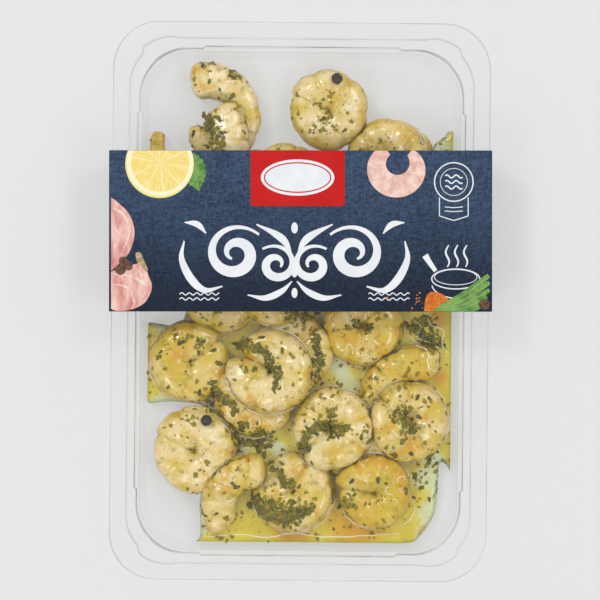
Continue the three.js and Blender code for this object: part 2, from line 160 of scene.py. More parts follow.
class Graph:
    """A material's node tree, filled by plain calls."""

    def __init__(self, tree: bpy.types.NodeTree) -> None:
        """Takes over a tree and empties it."""
        self.tree = tree
        tree.nodes.clear()

    def place(self, kind: str, settings: dict | None = None, values: dict | None = None) -> bpy.types.Node:
        """Adds a node.

        Args:
            kind: The node's type name.
            settings: Properties of the node, set before its sockets. "stops" is a ramp's list of
                (position, colour).
            values: Numbers, colours or links for its sockets, by name or number.

        Returns:
            The new node.
        """
        made = self.tree.nodes.new(kind)
        for name, value in (settings or {}).items():
            if name == "stops":
                ramp = made.color_ramp
                while len(ramp.elements) < len(value):
                    ramp.elements.new(0.5)
                for element, (position, colour) in zip(ramp.elements, value):
                    element.position = position
                    element.color = colour
            else:
                setattr(made, name, value)
        for name, value in (values or {}).items():
            socket = made.inputs[name]
            if isinstance(value, Knob):
                self.tree.links.new(value.socket, socket)
            else:
                socket.default_value = value
        return made

    def node(self, kind: str, settings: dict | None = None, values: dict | None = None, out: str | int = 0) -> Knob:
        """Adds a node and gives one of its outputs.

        Args:
            kind: The node's type name.
            settings: As for place.
            values: As for place.
            out: The output's name or number.

        Returns:
            The output, ready for expressions.
        """
        return Knob(self, self.place(kind, settings, values).outputs[out])

    def math(self, operation: str, a: Knob | float, b: Knob | float, clamp: bool = False) -> Knob:
        """Adds a Math node.

        Args:
            operation: The node's operation.
            a: First value.
            b: Second value.
            clamp: Whether the result is kept from 0 to 1.

        Returns:
            The result.
        """
        return self.node("ShaderNodeMath", {"operation": operation, "use_clamp": clamp}, {0: a, 1: b})

    def mix(self, factor: Knob | float, a: Knob | Colour, b: Knob | Colour, blend: str = "MIX") -> Knob:
        """Mixes two colours.

        Args:
            factor: Share of the second colour.
            a: First colour.
            b: Second colour.
            blend: The blending mode.

        Returns:
            The mixed colour.
        """
        settings = {"data_type": "RGBA", "blend_type": blend, "clamp_factor": True}
        return self.node("ShaderNodeMix", settings, {0: factor, 6: a, 7: b}, out=2)

    def place_on_object(self, stretch: tuple[float, float, float] = (1, 1, 1)) -> Knob:
        """Gives the place on the object, in metres, stretched along its axes."""
        where = self.node("ShaderNodeTexCoord", out="Object")
        return self.node("ShaderNodeMapping", values={"Vector": where, "Scale": stretch})

    def cloud(self, size: float, detail: float = 2, where: Knob | None = None, seed: float = 0) -> Knob:
        """Adds noise whose blotches have a given size.

        Args:
            size: Blotch size in millimetres.
            detail: Octaves of finer noise.
            where: Coordinates, by default the place on the object.
            seed: Shifts the pattern.

        Returns:
            Noise around 0.5.
        """
        where = where or self.place_on_object()
        settings = {"noise_dimensions": "4D"}
        values = {"Vector": where, "Scale": 1 / (size * MM), "Detail": detail, "W": seed}
        return self.node("ShaderNodeTexNoise", settings, values)

    def attribute(self, name: str) -> Knob:
        """Reads a number that the mesh carries."""
        return self.node("ShaderNodeAttribute", {"attribute_name": name}, out="Fac")

    def bump(self, height: Knob, depth: float, normal: Knob | None = None) -> Knob:
        """Turns a height into a normal.

        Args:
            height: Height from 0 to 1.
            depth: Depth in millimetres of a height of 1.
            normal: A normal to start from.

        Returns:
            The bumped normal.
        """
        values = {"Height": height, "Distance": depth * MM, "Strength": 1.0}
        if normal:
            values["Normal"] = normal
        return self.node("ShaderNodeBump", values=values)


@dataclass(frozen=True)
class Finish:
    """A finish with one colour all over. Others build on it."""

    name: str
    colour: Colour = (0.8, 0.8, 0.8, 1)
    roughness: float = 0.5
    coat: float = 0.0
    grain: float = 0.4
    grain_depth: float = 0.02
    shade: float = 0.12

    def material(self) -> bpy.types.Material:
        """Gives the finish's material, made on first use."""
        known = bpy.data.materials.get(self.name)
        if known:
            return known
        made = bpy.data.materials.new(self.name)
        made.use_nodes = True
        graph = Graph(made.node_tree)
        output = graph.place("ShaderNodeOutputMaterial")
        shader = self.shader(graph)
        graph.tree.links.new(shader.outputs[0], output.inputs["Surface"])
        made.diffuse_color = self.colour
        return made

    def shader(self, graph: Graph) -> bpy.types.Node:
        """Builds the surface: a colour with faint blotches and a fine grain.

        Args:
            graph: The material's graph.

        Returns:
            The shader node.
        """
        blotch = graph.cloud(self.grain * 8).rise(0.3, 0.7)
        dark = tuple(c * (1 - self.shade) for c in self.colour[:3]) + (1,)
        fine = graph.cloud(self.grain, 3)
        values = {
            "Base Color": graph.mix(blotch, self.colour, dark),
            "Roughness": self.roughness + (fine - 0.5) * 0.15,
            "Normal": graph.bump(fine, self.grain_depth),
            "Coat Weight": self.coat,
        }
        return graph.place("ShaderNodeBsdfPrincipled", values=values)


@dataclass(frozen=True)
class LightTable(Finish):
    """A white acrylic table top, faintly lit from below, which keeps shadows pale."""

    glow: float = 0.42

    def shader(self, graph: Graph) -> bpy.types.Node:
        """Builds the table top.

        Args:
            graph: The material's graph.

        Returns:
            The shader node.
        """
        drift = graph.cloud(180, 1)
        values = {
            "Base Color": graph.mix(drift, self.colour, tuple(c * (1 - self.shade) for c in self.colour[:3]) + (1,)),
            "Roughness": self.roughness,
            "Emission Color": (1, 1, 1, 1),
            "Emission Strength": self.glow,
        }
        return graph.place("ShaderNodeBsdfPrincipled", values=values)


@dataclass(frozen=True)
class ClearPlastic(Finish):
    """Thin clear sheet: nearly unseen face on, grey where the sheet stands edge on, and with dark grey lines painted
    along its bends in place of their refraction.
    """

    face_alpha: float = 0.06
    edge_alpha: float = 0.75
    edge_power: float = 3.0
    painted_line_alpha: float = 0.0
    painted_line_colour: Colour = ink(100, 104, 106)

    def shader(self, graph: Graph) -> bpy.types.Node:
        """Builds the sheet, whose cover grows towards grazing angles.

        Args:
            graph: The material's graph.

        Returns:
            The shader node.
        """
        facing = graph.node("ShaderNodeLayerWeight", values={"Blend": 0.5}, out="Facing")
        cover = self.face_alpha + (facing ** self.edge_power) * self.edge_alpha
        # Painted shade: dark grey lines along the bends, where the sheet's refraction darkens it.
        bend = graph.attribute("bend") * (0.55 + graph.cloud(30, 2, seed=6).rise(0.35, 0.65) * 0.45)
        cover = cover + bend * self.painted_line_alpha
        ripple = graph.cloud(24, 1)
        values = {
            "Base Color": graph.mix(bend, self.colour, self.painted_line_colour),
            "Roughness": self.roughness + (graph.cloud(6) - 0.5) * 0.06,
            "Alpha": cover.clamp(),
            "Normal": graph.bump(ripple, 0.25),
        }
        return graph.place("ShaderNodeBsdfPrincipled", values=values)


@dataclass(frozen=True)
class DenimPrint(Finish):
    """Printed card: a navy cloth-like grain, lighter in broad patches and darker to its lower edge."""

    light: Colour = ink(70, 90, 118)
    dark: Colour = ink(22, 29, 44)
    lower_edge: float = 0.0
    upper_edge: float = 60.0

    def shader(self, graph: Graph) -> bpy.types.Node:
        """Builds the print from crossed threads, grain and patches.

        Args:
            graph: The material's graph.

        Returns:
            The shader node.
        """
        warp = graph.cloud(0.55, 2, graph.place_on_object((1, 0.28, 1)))
        weft = graph.cloud(0.55, 2, graph.place_on_object((0.28, 1, 1)), 3)
        speck = (warp * 0.5 + weft * 0.5).rise(0.36, 0.66)
        patch = graph.cloud(30, 2).rise(0.35, 0.7)
        axes = graph.place("ShaderNodeSeparateXYZ", values={0: graph.place_on_object()})
        height = Knob(graph, axes.outputs["Y"]).rise(self.lower_edge * MM, self.upper_edge * MM)
        base = graph.mix(height * (0.5 + patch * 0.5), self.dark, self.colour)
        cloth = graph.mix(speck * (0.14 + height * 0.7), base, self.light)
        values = {
            "Base Color": cloth,
            "Roughness": self.roughness + (speck - 0.5) * 0.1,
            "Normal": graph.bump(speck, 0.008),
            "Coat Weight": self.coat,
            "Specular IOR Level": 0.12,
        }
        return graph.place("ShaderNodeBsdfPrincipled", values=values)


@dataclass(frozen=True)
class BlotchedInk(Finish):
    """Ink that drifts between two colours, as in a printed fruit or leaf."""

    second: Colour = (1, 1, 1, 1)
    blotch: float = 4.0
    stretch: tuple[float, float, float] = (1, 1, 1)

    def shader(self, graph: Graph) -> bpy.types.Node:
        """Builds the drifting ink.

        Args:
            graph: The material's graph.

        Returns:
            The shader node.
        """
        drift = graph.cloud(self.blotch, 3, graph.place_on_object(self.stretch)).rise(0.32, 0.68)
        values = {
            "Base Color": graph.mix(drift, self.colour, self.second),
            "Roughness": self.roughness + (graph.cloud(self.grain) - 0.5) * 0.1,
            "Coat Weight": self.coat,
            "Specular IOR Level": 0.2,
        }
        return graph.place("ShaderNodeBsdfPrincipled", values=values)


@dataclass(frozen=True)
class ShrimpFlesh(Finish):
    """Cooked flesh, cream and peach, stained yellow and orange by the oil that fills its creases, with painted shade
    darkening its creases, back slit and curl middle.
    """

    fresh: Colour = ink(233, 209, 155)
    peach: Colour = ink(230, 202, 144)
    pale: Colour = ink(242, 230, 196)
    yellow: Colour = ink(204, 174, 6)
    orange: Colour = ink(206, 154, 0)
    amber: Colour = ink(184, 148, 0)
    olive: Colour = ink(134, 126, 6)
    # Colour of the painted shade in the creases.
    painted_shade: Colour = ink(66, 58, 6)

    def shader(self, graph: Graph) -> bpy.types.Node:
        """Builds the flesh from blotches and the creases that the mesh carries.

        Args:
            graph: The material's graph.

        Returns:
            The shader node.
        """
        groove = graph.attribute("groove")
        nook = graph.attribute("nook")
        slit = graph.attribute("slit")
        tint = graph.attribute("tint")
        flank = graph.attribute("flank")
        warm = graph.cloud(9, 2).rise(0.4, 0.7)
        flesh = graph.mix((tint * 1.8).clamp(), self.fresh, self.colour)
        flesh = graph.mix(warm * 0.5, flesh, self.peach)
        fibre = graph.cloud(3.2, 3, seed=4).rise(0.35, 0.75)
        flesh = graph.mix(fibre * (1 - tint * 0.9), flesh, self.pale)
        blot = graph.cloud(9, 4, seed=7)
        stain = (blot + groove * 0.12 + tint * 0.2 + flank * 0.06).rise(0.44, 0.76)
        flesh = graph.mix(stain * 0.85, flesh, self.yellow)
        spice = (graph.cloud(7, 4, seed=11) + groove * 0.06 + tint * 0.12).rise(0.58, 0.76)
        flesh = graph.mix(spice * 0.8, flesh, self.orange)
        herbal = (graph.cloud(2.6, 4, seed=17) + nook * 0.06).rise(0.54, 0.68)
        flesh = graph.mix(herbal * 0.5, flesh, self.olive)
        edge = flank * (0.12 + tint * 0.5) * (0.6 + blot * 0.8)
        flesh = graph.mix(edge.clamp(), flesh, self.amber)
        # Olive in the creases and on the flanks: partly the oil's stain, partly painted shade in the creases.
        wet = (flank * 0.35 + nook * 0.7 + (blot - 0.5) * 0.9).rise(0.42, 1.0)
        flesh = graph.mix(wet * 0.45, flesh, self.olive)
        # Painted shade: near black where shrimps touch, in the back slit and round a closed curl's middle.
        deep = (nook * 0.8 + slit * 0.7 + (blot - 0.5) * 0.5).rise(0.62, 1.1)
        flesh = graph.mix(deep * 0.75, flesh, self.painted_shade)
        relief = graph.bump(graph.cloud(2.8, 3, seed=2), 0.09)
        relief = graph.bump(graph.cloud(0.6, 2, seed=9), 0.025, relief)
        values = {
            "Base Color": flesh,
            "Roughness": (self.roughness + (blot - 0.5) * 0.4).clamp(),
            "Coat Weight": (0.2 + graph.cloud(5, 2, seed=21).rise(0.4, 0.62) * 0.5 + stain * 0.15).clamp(),
            "Coat Roughness": 0.07,
            "Normal": relief,
            "Subsurface Weight": 0.35,
            "Subsurface Radius": (1.0, 0.62, 0.28),
            "Subsurface Scale": 1.6 * MM,
            "Specular IOR Level": 0.35,
        }
        return graph.place("ShaderNodeBsdfPrincipled", values=values)


@dataclass(frozen=True)
class OilPool(Finish):
    """Herb oil: pale green and clear where it is thin, mustard yellow where deep, with orange clouds and a darker green
    line painted along its shore.
    """

    thin: Colour = ink(230, 240, 180)
    deep: Colour = ink(206, 182, 8)
    orange: Colour = ink(222, 164, 4)
    green: Colour = ink(150, 152, 10)
    thin_alpha: float = 0.58

    def shader(self, graph: Graph) -> bpy.types.Node:
        """Builds the oil from the depth that the mesh carries and drifting clouds.

        Args:
            graph: The material's graph.

        Returns:
            The shader node.
        """
        depth = graph.attribute("depth")
        drift = graph.cloud(12, 3, seed=1)
        body = (depth + (drift - 0.5) * 1.1 + (graph.cloud(5, 3, seed=12) - 0.5) * 0.5).rise(0.05, 0.9)
        oil = graph.mix(body, self.thin, self.colour)
        oil = graph.mix((drift - 0.1).rise(0.35, 0.6) * body * 0.6, oil, self.deep)
        oil = graph.mix((graph.attribute("spice") * (0.6 + drift * 0.8)).clamp(), oil, self.orange)
        herbs = graph.cloud(2.6, 4, seed=5).rise(0.55, 0.75)
        oil = graph.mix(herbs * body * 0.5, oil, self.green)
        # Painted shade: a darker green line along the shore stands for the shade at the oil's curved edge.
        rim = graph.attribute("rim")
        oil = graph.mix(rim * (0.3 + drift * 0.6), oil, self.green)
        values = {
            "Base Color": oil,
            "Roughness": self.roughness + (drift - 0.5) * 0.08,
            "Alpha": (self.thin_alpha + body * (0.8 - self.thin_alpha) + rim * 0.15).clamp(),
            "Normal": graph.bump(graph.cloud(7, 1, seed=8), 0.35),
            "Coat Weight": self.coat,
        }
        return graph.place("ShaderNodeBsdfPrincipled", values=values)


@dataclass(frozen=True)
class LemonInk(Finish):
    """A printed lemon half: rind, pith and streaked segments round its middle."""

    centre: Pair = (-56.0, 26.6)
    radius: float = 13.6
    pith: Colour = ink(240, 232, 192)
    rind: Colour = ink(228, 216, 138)
    streak: Colour = ink(242, 220, 140)
    segments: int = 10

    def shader(self, graph: Graph) -> bpy.types.Node:
        """Builds the slice from the way and distance to its middle.

        Args:
            graph: The material's graph.

        Returns:
            The shader node.
        """
        middle = (self.centre[0] * MM, (28 + self.centre[1]) * MM, 0)
        settings = {"operation": "SUBTRACT"}
        away = graph.node("ShaderNodeVectorMath", settings, {0: graph.place_on_object(), 1: middle})
        axes = graph.place("ShaderNodeSeparateXYZ", values={0: away})
        x, y = Knob(graph, axes.outputs["X"]), Knob(graph, axes.outputs["Y"])
        reach = ((x * x + y * y) ** 0.5) / (self.radius * MM)
        angle = graph.math("ARCTAN2", y, x)
        turn = angle * (self.segments / math.tau) + 20.3
        into = graph.math("FRACT", turn, 0.0)
        middle_of = graph.math("ABSOLUTE", into - 0.5, 0.0)
        membrane = (middle_of + (0.12 / self.segments) / (reach + 0.05)).rise(0.44, 0.5)
        polar = graph.node("ShaderNodeCombineXYZ", values={0: angle * 5, 1: reach * 1.6})
        rays = graph.node("ShaderNodeTexNoise", values={"Vector": polar, "Scale": 3.0, "Detail": 3.0})
        flesh = graph.mix(rays.rise(0.4, 0.66), self.colour, self.streak)
        flesh = graph.mix(membrane * 0.7, flesh, self.pith)
        flesh = graph.mix(reach.rise(0.83, 0.87), flesh, self.pith)
        flesh = graph.mix(reach.rise(0.955, 0.985), flesh, self.rind)
        values = {"Base Color": flesh, "Roughness": self.roughness, "Coat Weight": self.coat}
        return graph.place("ShaderNodeBsdfPrincipled", values=values)


@dataclass(frozen=True)
class WrinkledCorn(Finish):
    """A black peppercorn's wrinkled, oily skin."""

    def shader(self, graph: Graph) -> bpy.types.Node:
        """Builds the skin from broken ridges.

        Args:
            graph: The material's graph.

        Returns:
            The shader node.
        """
        ridge = graph.cloud(1.1, 3)
        crack = (1 - (ridge - 0.5) * 6).clamp()
        values = {
            "Base Color": graph.mix(crack, ink(64, 52, 38), self.colour),
            "Roughness": self.roughness + (ridge - 0.5) * 0.2,
            "Normal": graph.bump(ridge, 0.7),
            "Coat Weight": self.coat,
        }
        return graph.place("ShaderNodeBsdfPrincipled", values=values)


TRAY_SHEET = ClearPlastic(
    "clear_tray_sheet", ink(196, 200, 200), roughness=0.14, face_alpha=0.05, edge_alpha=0.22, edge_power=5,
    painted_line_alpha=0.6,
)
LID_SHEET = ClearPlastic(
    "lid_film_sheet", ink(226, 228, 228), roughness=0.12, face_alpha=0.015, edge_alpha=0.3, edge_power=4
)
CARD_FACE = DenimPrint("sleeve_print", ink(46, 62, 86), roughness=0.6, coat=0.0, lower_edge=-6, upper_edge=54)
CARD_CORE = Finish("card_core", ink(206, 206, 200), roughness=0.8, grain=0.25)
FLESH = ShrimpFlesh("shrimp_flesh_wet", ink(217, 194, 110), roughness=0.34)
OIL = OilPool("herb_oil", ink(230, 211, 62), roughness=0.08, coat=0.4)
HERB = BlotchedInk("herb_flake", ink(130, 128, 6), roughness=0.45, coat=0.2, second=ink(146, 116, 12), blotch=1.2)
HERB_DARK = BlotchedInk("herb_leaf", ink(80, 82, 10), roughness=0.4, coat=0.25, second=ink(112, 104, 16), blotch=1.6)
PEPPER = BlotchedInk("pepper_grain", ink(74, 54, 30), roughness=0.5, coat=0.3, second=ink(130, 86, 32), blotch=0.6)
CORN = WrinkledCorn("peppercorn_skin", ink(20, 18, 16), roughness=0.3, coat=0.35)
HERB_LARGE = BlotchedInk("herb_large", ink(92, 84, 26), roughness=0.4, coat=0.5, second=ink(52, 46, 22), blotch=1.4)
# Dark herb paste, also used for one painted contact shadow.
HERB_PASTE_AND_SHADOW = BlotchedInk("herb_paste", ink(66, 62, 22), roughness=0.32, coat=0.4, second=ink(118, 108, 40), blotch=0.7)
SPICE_PASTE = BlotchedInk("spice_paste", ink(140, 92, 24), roughness=0.32, coat=0.6, second=ink(96, 70, 24), blotch=1)
STEM = BlotchedInk("herb_stem_brown", ink(112, 74, 26), roughness=0.4, coat=0.5, second=ink(70, 58, 24), blotch=1)
# Near-white strands that stand in for highlights on the wet surfaces: painted highlights.
PAINTED_GLINT = Finish("painted_glint", ink(252, 246, 222), roughness=0.15, coat=0.5, shade=0.04)
VEIN = BlotchedInk("dark_vein", ink(62, 58, 40), roughness=0.35, coat=0.5, second=ink(104, 100, 78), blotch=1.4)
RED_INK = BlotchedInk("red_ink", ink(186, 16, 14), roughness=0.6, second=ink(192, 22, 18), blotch=9)
WHITE_INK = BlotchedInk("white_ink", ink(228, 230, 232), roughness=0.5, coat=0.1, second=ink(220, 223, 227), blotch=5)
LEAF_INK = BlotchedInk("leaf_ink", ink(72, 120, 50), roughness=0.5, coat=0.1, second=ink(120, 160, 84), blotch=3)
LEAF_PALE = BlotchedInk("leaf_vein_ink", ink(150, 186, 112), roughness=0.5, second=ink(120, 160, 84), blotch=2)
LEMON_INK = LemonInk("lemon_ink", ink(230, 204, 104), roughness=0.5, coat=0.1)
GARLIC_INK = BlotchedInk(
    "garlic_ink", ink(196, 122, 118), roughness=0.5, coat=0.1, second=ink(234, 196, 180), blotch=4, stretch=(1, 0.35, 1)
)
GARLIC_PALE = BlotchedInk("garlic_paper_ink", ink(238, 216, 204), roughness=0.5, second=ink(216, 170, 160), blotch=2)
STALK_INK = BlotchedInk("garlic_neck_ink", ink(196, 176, 140), roughness=0.5, second=ink(150, 124, 90), blotch=1.2)
PINK_INK = BlotchedInk("pink_ink", ink(236, 208, 196), roughness=0.5, coat=0.1, second=ink(214, 166, 150), blotch=3.5)
PINK_DEEP = BlotchedInk("pink_line_ink", ink(206, 158, 142), roughness=0.5, second=ink(224, 186, 172), blotch=2)
POWDER_INK = BlotchedInk("powder_ink", ink(190, 92, 30), roughness=0.6, second=ink(214, 128, 52), blotch=1)
CORN_INK = BlotchedInk("corn_ink", ink(70, 52, 44), roughness=0.5, second=ink(118, 84, 68), blotch=1.2)
STUDIO_FLOOR = LightTable("studio_floor", ink(157, 157, 157), roughness=0.9, shade=0.01)


def hold(piece: bpy.types.Object, nodes: Sequence[str] = ()) -> bpy.types.Object:
    """Makes a finished piece part of the pack.

    Args:
        piece: The piece, with its place in its mesh.
        nodes: The solids that it stands for.

    Returns:
        The same piece.
    """
    if nodes:
        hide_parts(*nodes)
    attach(piece, BODY)
    LOG.info("%s: %d faces", piece.name, len(piece.data.polygons))
    return piece


def make_piece(
    name: str,
    points: np.ndarray,
    faces: Sequence[Sequence[int]],
    finishes: Sequence[Finish],
    numbers: dict[str, np.ndarray] | None = None,
    face_finish: Sequence[int] | None = None,
    sharp: float | None = None,
) -> bpy.types.Object:
    """Makes a mesh object from points in millimetres.

    Args:
        name: The piece's name.
        points: One row of x, y, z for each point.
        faces: The points of each face.
        finishes: The piece's finishes.
        numbers: Numbers to carry on the points, by name.
        face_finish: Which finish each face takes, by default the first.
        sharp: Degrees past which an edge stays sharp. None shades all smooth.

    Returns:
        The new object, linked to the scene.
    """
    mesh = bpy.data.meshes.new(name)
    mesh.from_pydata((np.asarray(points, float) * MM).tolist(), [], [tuple(f) for f in faces])
    for finish in finishes:
        mesh.materials.append(finish.material())
    mesh.polygons.foreach_set("use_smooth", [True] * len(mesh.polygons))
    if face_finish is not None:
        mesh.polygons.foreach_set("material_index", list(face_finish))
    if sharp is not None:
        mesh.set_sharp_from_angle(angle=math.radians(sharp))
    for key, values in (numbers or {}).items():
        mesh.attributes.new(key, "FLOAT", "POINT").data.foreach_set("value", np.asarray(values, np.float32))
    mesh.update()
    piece = bpy.data.objects.new(name, mesh)
    bpy.context.scene.collection.objects.link(piece)
    return piece


def outward(piece: bpy.types.Object) -> bpy.types.Object:
    """Merges a closed mesh's doubles and turns its faces outwards."""
    work = bmesh.new()
    work.from_mesh(piece.data)
    bmesh.ops.remove_doubles(work, verts=work.verts, dist=1e-7)
    bmesh.ops.recalc_face_normals(work, faces=work.faces)
    work.to_mesh(piece.data)
    work.free()
    return piece


def tube_faces(rings: int, sides: int) -> list[tuple[int, ...]]:
    """Lists the faces of a tube of rings that is closed by a pole at each end.

    Args:
        rings: How many rings lie between the poles.
        sides: How many points a ring has.

    Returns:
        Faces. Point 0 is the first pole, and the last point is the other.
    """
    last = 1 + rings * sides
    faces: list[tuple[int, ...]] = []
    for side in range(sides):
        after = (side + 1) % sides
        faces.append((0, 1 + after, 1 + side))
        for ring in range(rings - 1):
            low = 1 + ring * sides
            high = low + sides
            faces.append((low + side, low + after, high + after, high + side))
        faces.append((last - sides + side, last - sides + after, last))
    return faces


@dataclass(frozen=True)
class RimPlan:
    """The tray's outline seen from above, as loops at any inset from the rim."""

    width: float = 150.0
    length: float = 222.0
    lug_reach: float = 36.0
    lug_edge: float = 0.5
    lug_depth: float = 1.0
    notch: float = 1.2
    corner_steps: int = 24

    def stations(self) -> list[tuple[float, float, float, float]]:
        """Lists places round the rim: quarter signs, lug share and the angle in its corner, or along.

        Returns:
            For each station: sign of x, sign of y, how far the lug stands in, and a place from -2 to 3.
            From 0 to 1 it runs round the corner, and below and above along the long and short side.
        """
        quarter = [(0.0, -1.5), (0.0, -1.0), (0.5, -0.5), (1.0, -0.25)]
        quarter += [(1.0, step / self.corner_steps) for step in range(self.corner_steps + 1)]
        quarter += [(1.0, 1.25), (0.5, 1.5), (0.0, 2.0)]
        signs = ((1, 1), (-1, 1), (-1, -1), (1, -1))
        return [
            (sx, sy, lug, place)
            for sx, sy in signs
            for lug, place in (quarter if sx * sy > 0 else quarter[::-1])
        ]

    def loop(self, inset: float, radius: float, lugged: float = 0.0, notched: float = 0.0) -> np.ndarray:
        """Gives the points of one loop.

        Args:
            inset: Distance in from the rim.
            radius: The loop's corner radius.
            lugged: How much of the lugs' depth the loop takes.
            notched: How much of the corners' notch the loop takes.

        Returns:
            One row of x and y for each station.
        """
        points = []
        for sx, sy, lug, place in self.stations():
            angle = math.radians(90 * min(max(place, 0), 1))
            notch = notched * self.notch * max(0.0, math.cos(2 * angle - math.pi / 2)) ** 0.5
            notch *= float(smooth_step(43, 47, np.array(math.degrees(angle))))
            moved = inset + lug * lugged * self.lug_depth - notch
            corner_x = self.width / 2 - moved - radius
            corner_y = self.length / 2 - moved - radius
            x = corner_x + radius * math.cos(angle)
            y = corner_y + radius * math.sin(angle)
            lug_y = self.length / 2 - self.lug_reach
            lug_x = self.width / 2 - self.lug_reach
            if place < 0:
                edge = min(lug_y + (place + 0.5) * -2 * -self.lug_edge, corner_y)
                y = {-1.5: 0.35 * self.length * 0.5, -1.0: lug_y - self.lug_edge, -0.5: lug_y}.get(place, edge)
                y = min(lug_y + self.lug_edge, corner_y) if place == -0.25 else y
            if place > 1:
                x = {1.25: min(lug_x + self.lug_edge, corner_x), 1.5: lug_x, 2.0: lug_x - self.lug_edge}[place]
            points.append((sx * x, sy * y))
        return np.array(points)


@dataclass
class Tray:
    """The clear thermoformed tray: a flat flange, a step, a ledge with lugs, and a drafted wall."""

    plan: RimPlan = field(default_factory=RimPlan)
    base: float = 1.3
    depth: float = 26.0
    sheet: float = 0.6
    rim_radius: float = 18.5
    wall_radius: float = 19.5
    floor_radius: float = 17.0
    rounding: float = 0.55
    round_steps: int = 4
    # Insets of the bends that get a painted dark line, and how strongly.
    lines: tuple[Pair, ...] = ((0.0, 0.7), (6.8, 0.6), (9.9, 1.0), (11.6, 0.4))
    # Inset, height over the base, share of the sheet's thickness out and down, lugged, notched
    profile: tuple[tuple[float, ...], ...] = (
        (6.8, 26.0, 1, 1, 0, 1),
        (7.4, 23.4, 1, 1, 0, 1),
        (9.9, 23.0, 1, 1, 1, 0),
        (10.3, 18.0, 1, 1, 1, 0),
        (11.6, 17.4, 1, 1, 0, 0),
        (13.6, 4.2, 1, 0.35, 0, 0),
        (14.2, 2.1, 0.5, 1, 0, 0),
        (16.4, 0.6, 0.5, 1, 0, 0),
    )

    @property
    def floor(self) -> float:
        """Height of the inside floor."""
        return self.base + self.sheet

    @property
    def rim(self) -> float:
        """Height of the flange's top."""
        return self.base + self.depth

    def rows(self) -> np.ndarray:
        """Lists the loops from the middle of the underside round to the middle of the floor.

        Returns:
            Rows of inset, height, corner radius, lugged, notched, and how strongly a dark line is painted along a bend.
        """
        inside = [[inset, self.base + z, self.wall_radius, lug, cut] for inset, z, _, _, lug, cut in self.profile]
        outside = [
            [inset - out * self.sheet, self.base + z - down * self.sheet, self.wall_radius, lug, cut]
            for inset, z, out, down, lug, cut in self.profile
        ]
        inside[-1][2] = outside[-1][2] = self.floor_radius
        edge = [[0, self.rim - self.sheet, self.rim_radius, 0, 0], [0, self.rim, self.rim_radius, 0, 0]]
        sharp = np.array(outside[::-1] + edge + inside, float)
        marks = np.zeros(len(sharp))
        for line, plain in self.lines:
            marks[(np.abs(sharp[:, 0] - line) < 0.05) & (np.arange(len(sharp)) >= len(sharp) // 2)] = plain
        return self.rounded(np.column_stack([sharp, marks]))

    def rounded(self, rows: np.ndarray) -> np.ndarray:
        """Rounds each bend of the profile.

        Args:
            rows: The sharp profile's rows.

        Returns:
            Rows with a short curve in place of each inner one.
        """
        kept = [rows[0]]
        for before, here, after in zip(rows, rows[1:], rows[2:]):
            ends = []
            for other in (before, after):
                away = other - here
                reach = min(self.rounding, np.hypot(*away[:2]) * 0.45) / max(np.hypot(*away[:2]), 1e-9)
                ends.append(here + away * reach)
            for step in range(self.round_steps + 1):
                t = step / self.round_steps
                row = ends[0] * (1 - t) ** 2 + here * 2 * t * (1 - t) + ends[1] * t * t
                row[5] = here[5] * (0 < step < self.round_steps)
                kept.append(row)
        return np.array([*kept, rows[-1]])

    def build(self) -> bpy.types.Object:
        """Builds the tray.

        Returns:
            The tray, in place of its solid.
        """
        rows = self.rows()
        rings = []
        for inset, z, radius, lugged, notched, _ in rows:
            flat = self.plan.loop(inset, radius, lugged, notched)
            rings.append(np.column_stack([flat, np.full(len(flat), z)]))
        points = np.vstack([[[0, 0, self.base]], *rings, [[0, 0, self.floor]]])
        numbers = {"bend": np.concatenate([[0], np.repeat(rows[:, 5], len(rings[0])), [0]])}
        faces = tube_faces(len(rings), len(rings[0]))
        piece = make_piece("tray_sheet", points, faces, [TRAY_SHEET], numbers, sharp=35)
        piece.visible_shadow = False
        return hold(outward(piece), ["tray"])

    def wall_inset(self, height: np.ndarray) -> np.ndarray:
        """Gives the inside wall's inset from the rim at heights.

        Args:
            height: Heights in millimetres.

        Returns:
            Insets, in millimetres.
        """
        rows = np.array([(z + self.base, inset + lug * self.plan.lug_depth) for inset, z, _, _, lug, _ in self.profile])
        return np.interp(height, rows[::-1, 0], rows[::-1, 1])

    def press_inside(self, points: np.ndarray, gap: float = 0.35) -> np.ndarray:
        """Presses points that stand in the wall or floor back inside.

        Args:
            points: Rows of x, y and z.
            gap: Clear distance to the wall and floor.

        Returns:
            The points, moved where they had to.
        """
        pressed = points.copy()
        pressed[:, 2] = np.clip(pressed[:, 2], self.floor + gap, self.rim - gap)
        inset = self.wall_inset(pressed[:, 2]) + gap
        radius = self.wall_radius
        half = np.column_stack([self.plan.width / 2 - inset - radius, self.plan.length / 2 - inset - radius])
        sign = np.sign(pressed[:, :2])
        past = np.abs(pressed[:, :2]) - half
        in_corner = (past > 0).all(axis=1)
        reach = np.hypot(*np.maximum(past, 0).T)
        shrink = np.where(in_corner & (reach > radius), radius / np.maximum(reach, 1e-9), 1.0)
        flat = np.minimum(past, radius)
        moved = np.where(in_corner[:, None], past * shrink[:, None], flat)
        pressed[:, :2] = sign * (half + moved)
        return pressed


@dataclass
class LidFilm:
    """The clear film that closes the rim, drawn tight and flat."""

    plan: RimPlan = field(default_factory=RimPlan)
    base: float = 27.4
    thickness: float = 0.25
    insets: tuple[float, ...] = (11.5, 9.0, 7.0, 4.0, 1.5, 0.7, 0.5)
    radius: float = 18.3

    def build(self) -> bpy.types.Object:
        """Builds the film as two faces and a rim.

        Returns:
            The film, in place of its solid.
        """
        rings = []
        for level, order in ((self.base, self.insets), (self.base + self.thickness, self.insets[::-1])):
            for inset in order:
                flat = self.plan.loop(inset, self.radius)
                rings.append(np.column_stack([flat, np.full(len(flat), level)]))
        points = np.vstack([[[0, 0, self.base]], *rings, [[0, 0, self.base + self.thickness]]])
        piece = make_piece("film_sheet", points, tube_faces(len(rings), len(rings[0])), [LID_SHEET], sharp=35)
        piece.visible_shadow = False
        return hold(outward(piece), ["lid_film"])


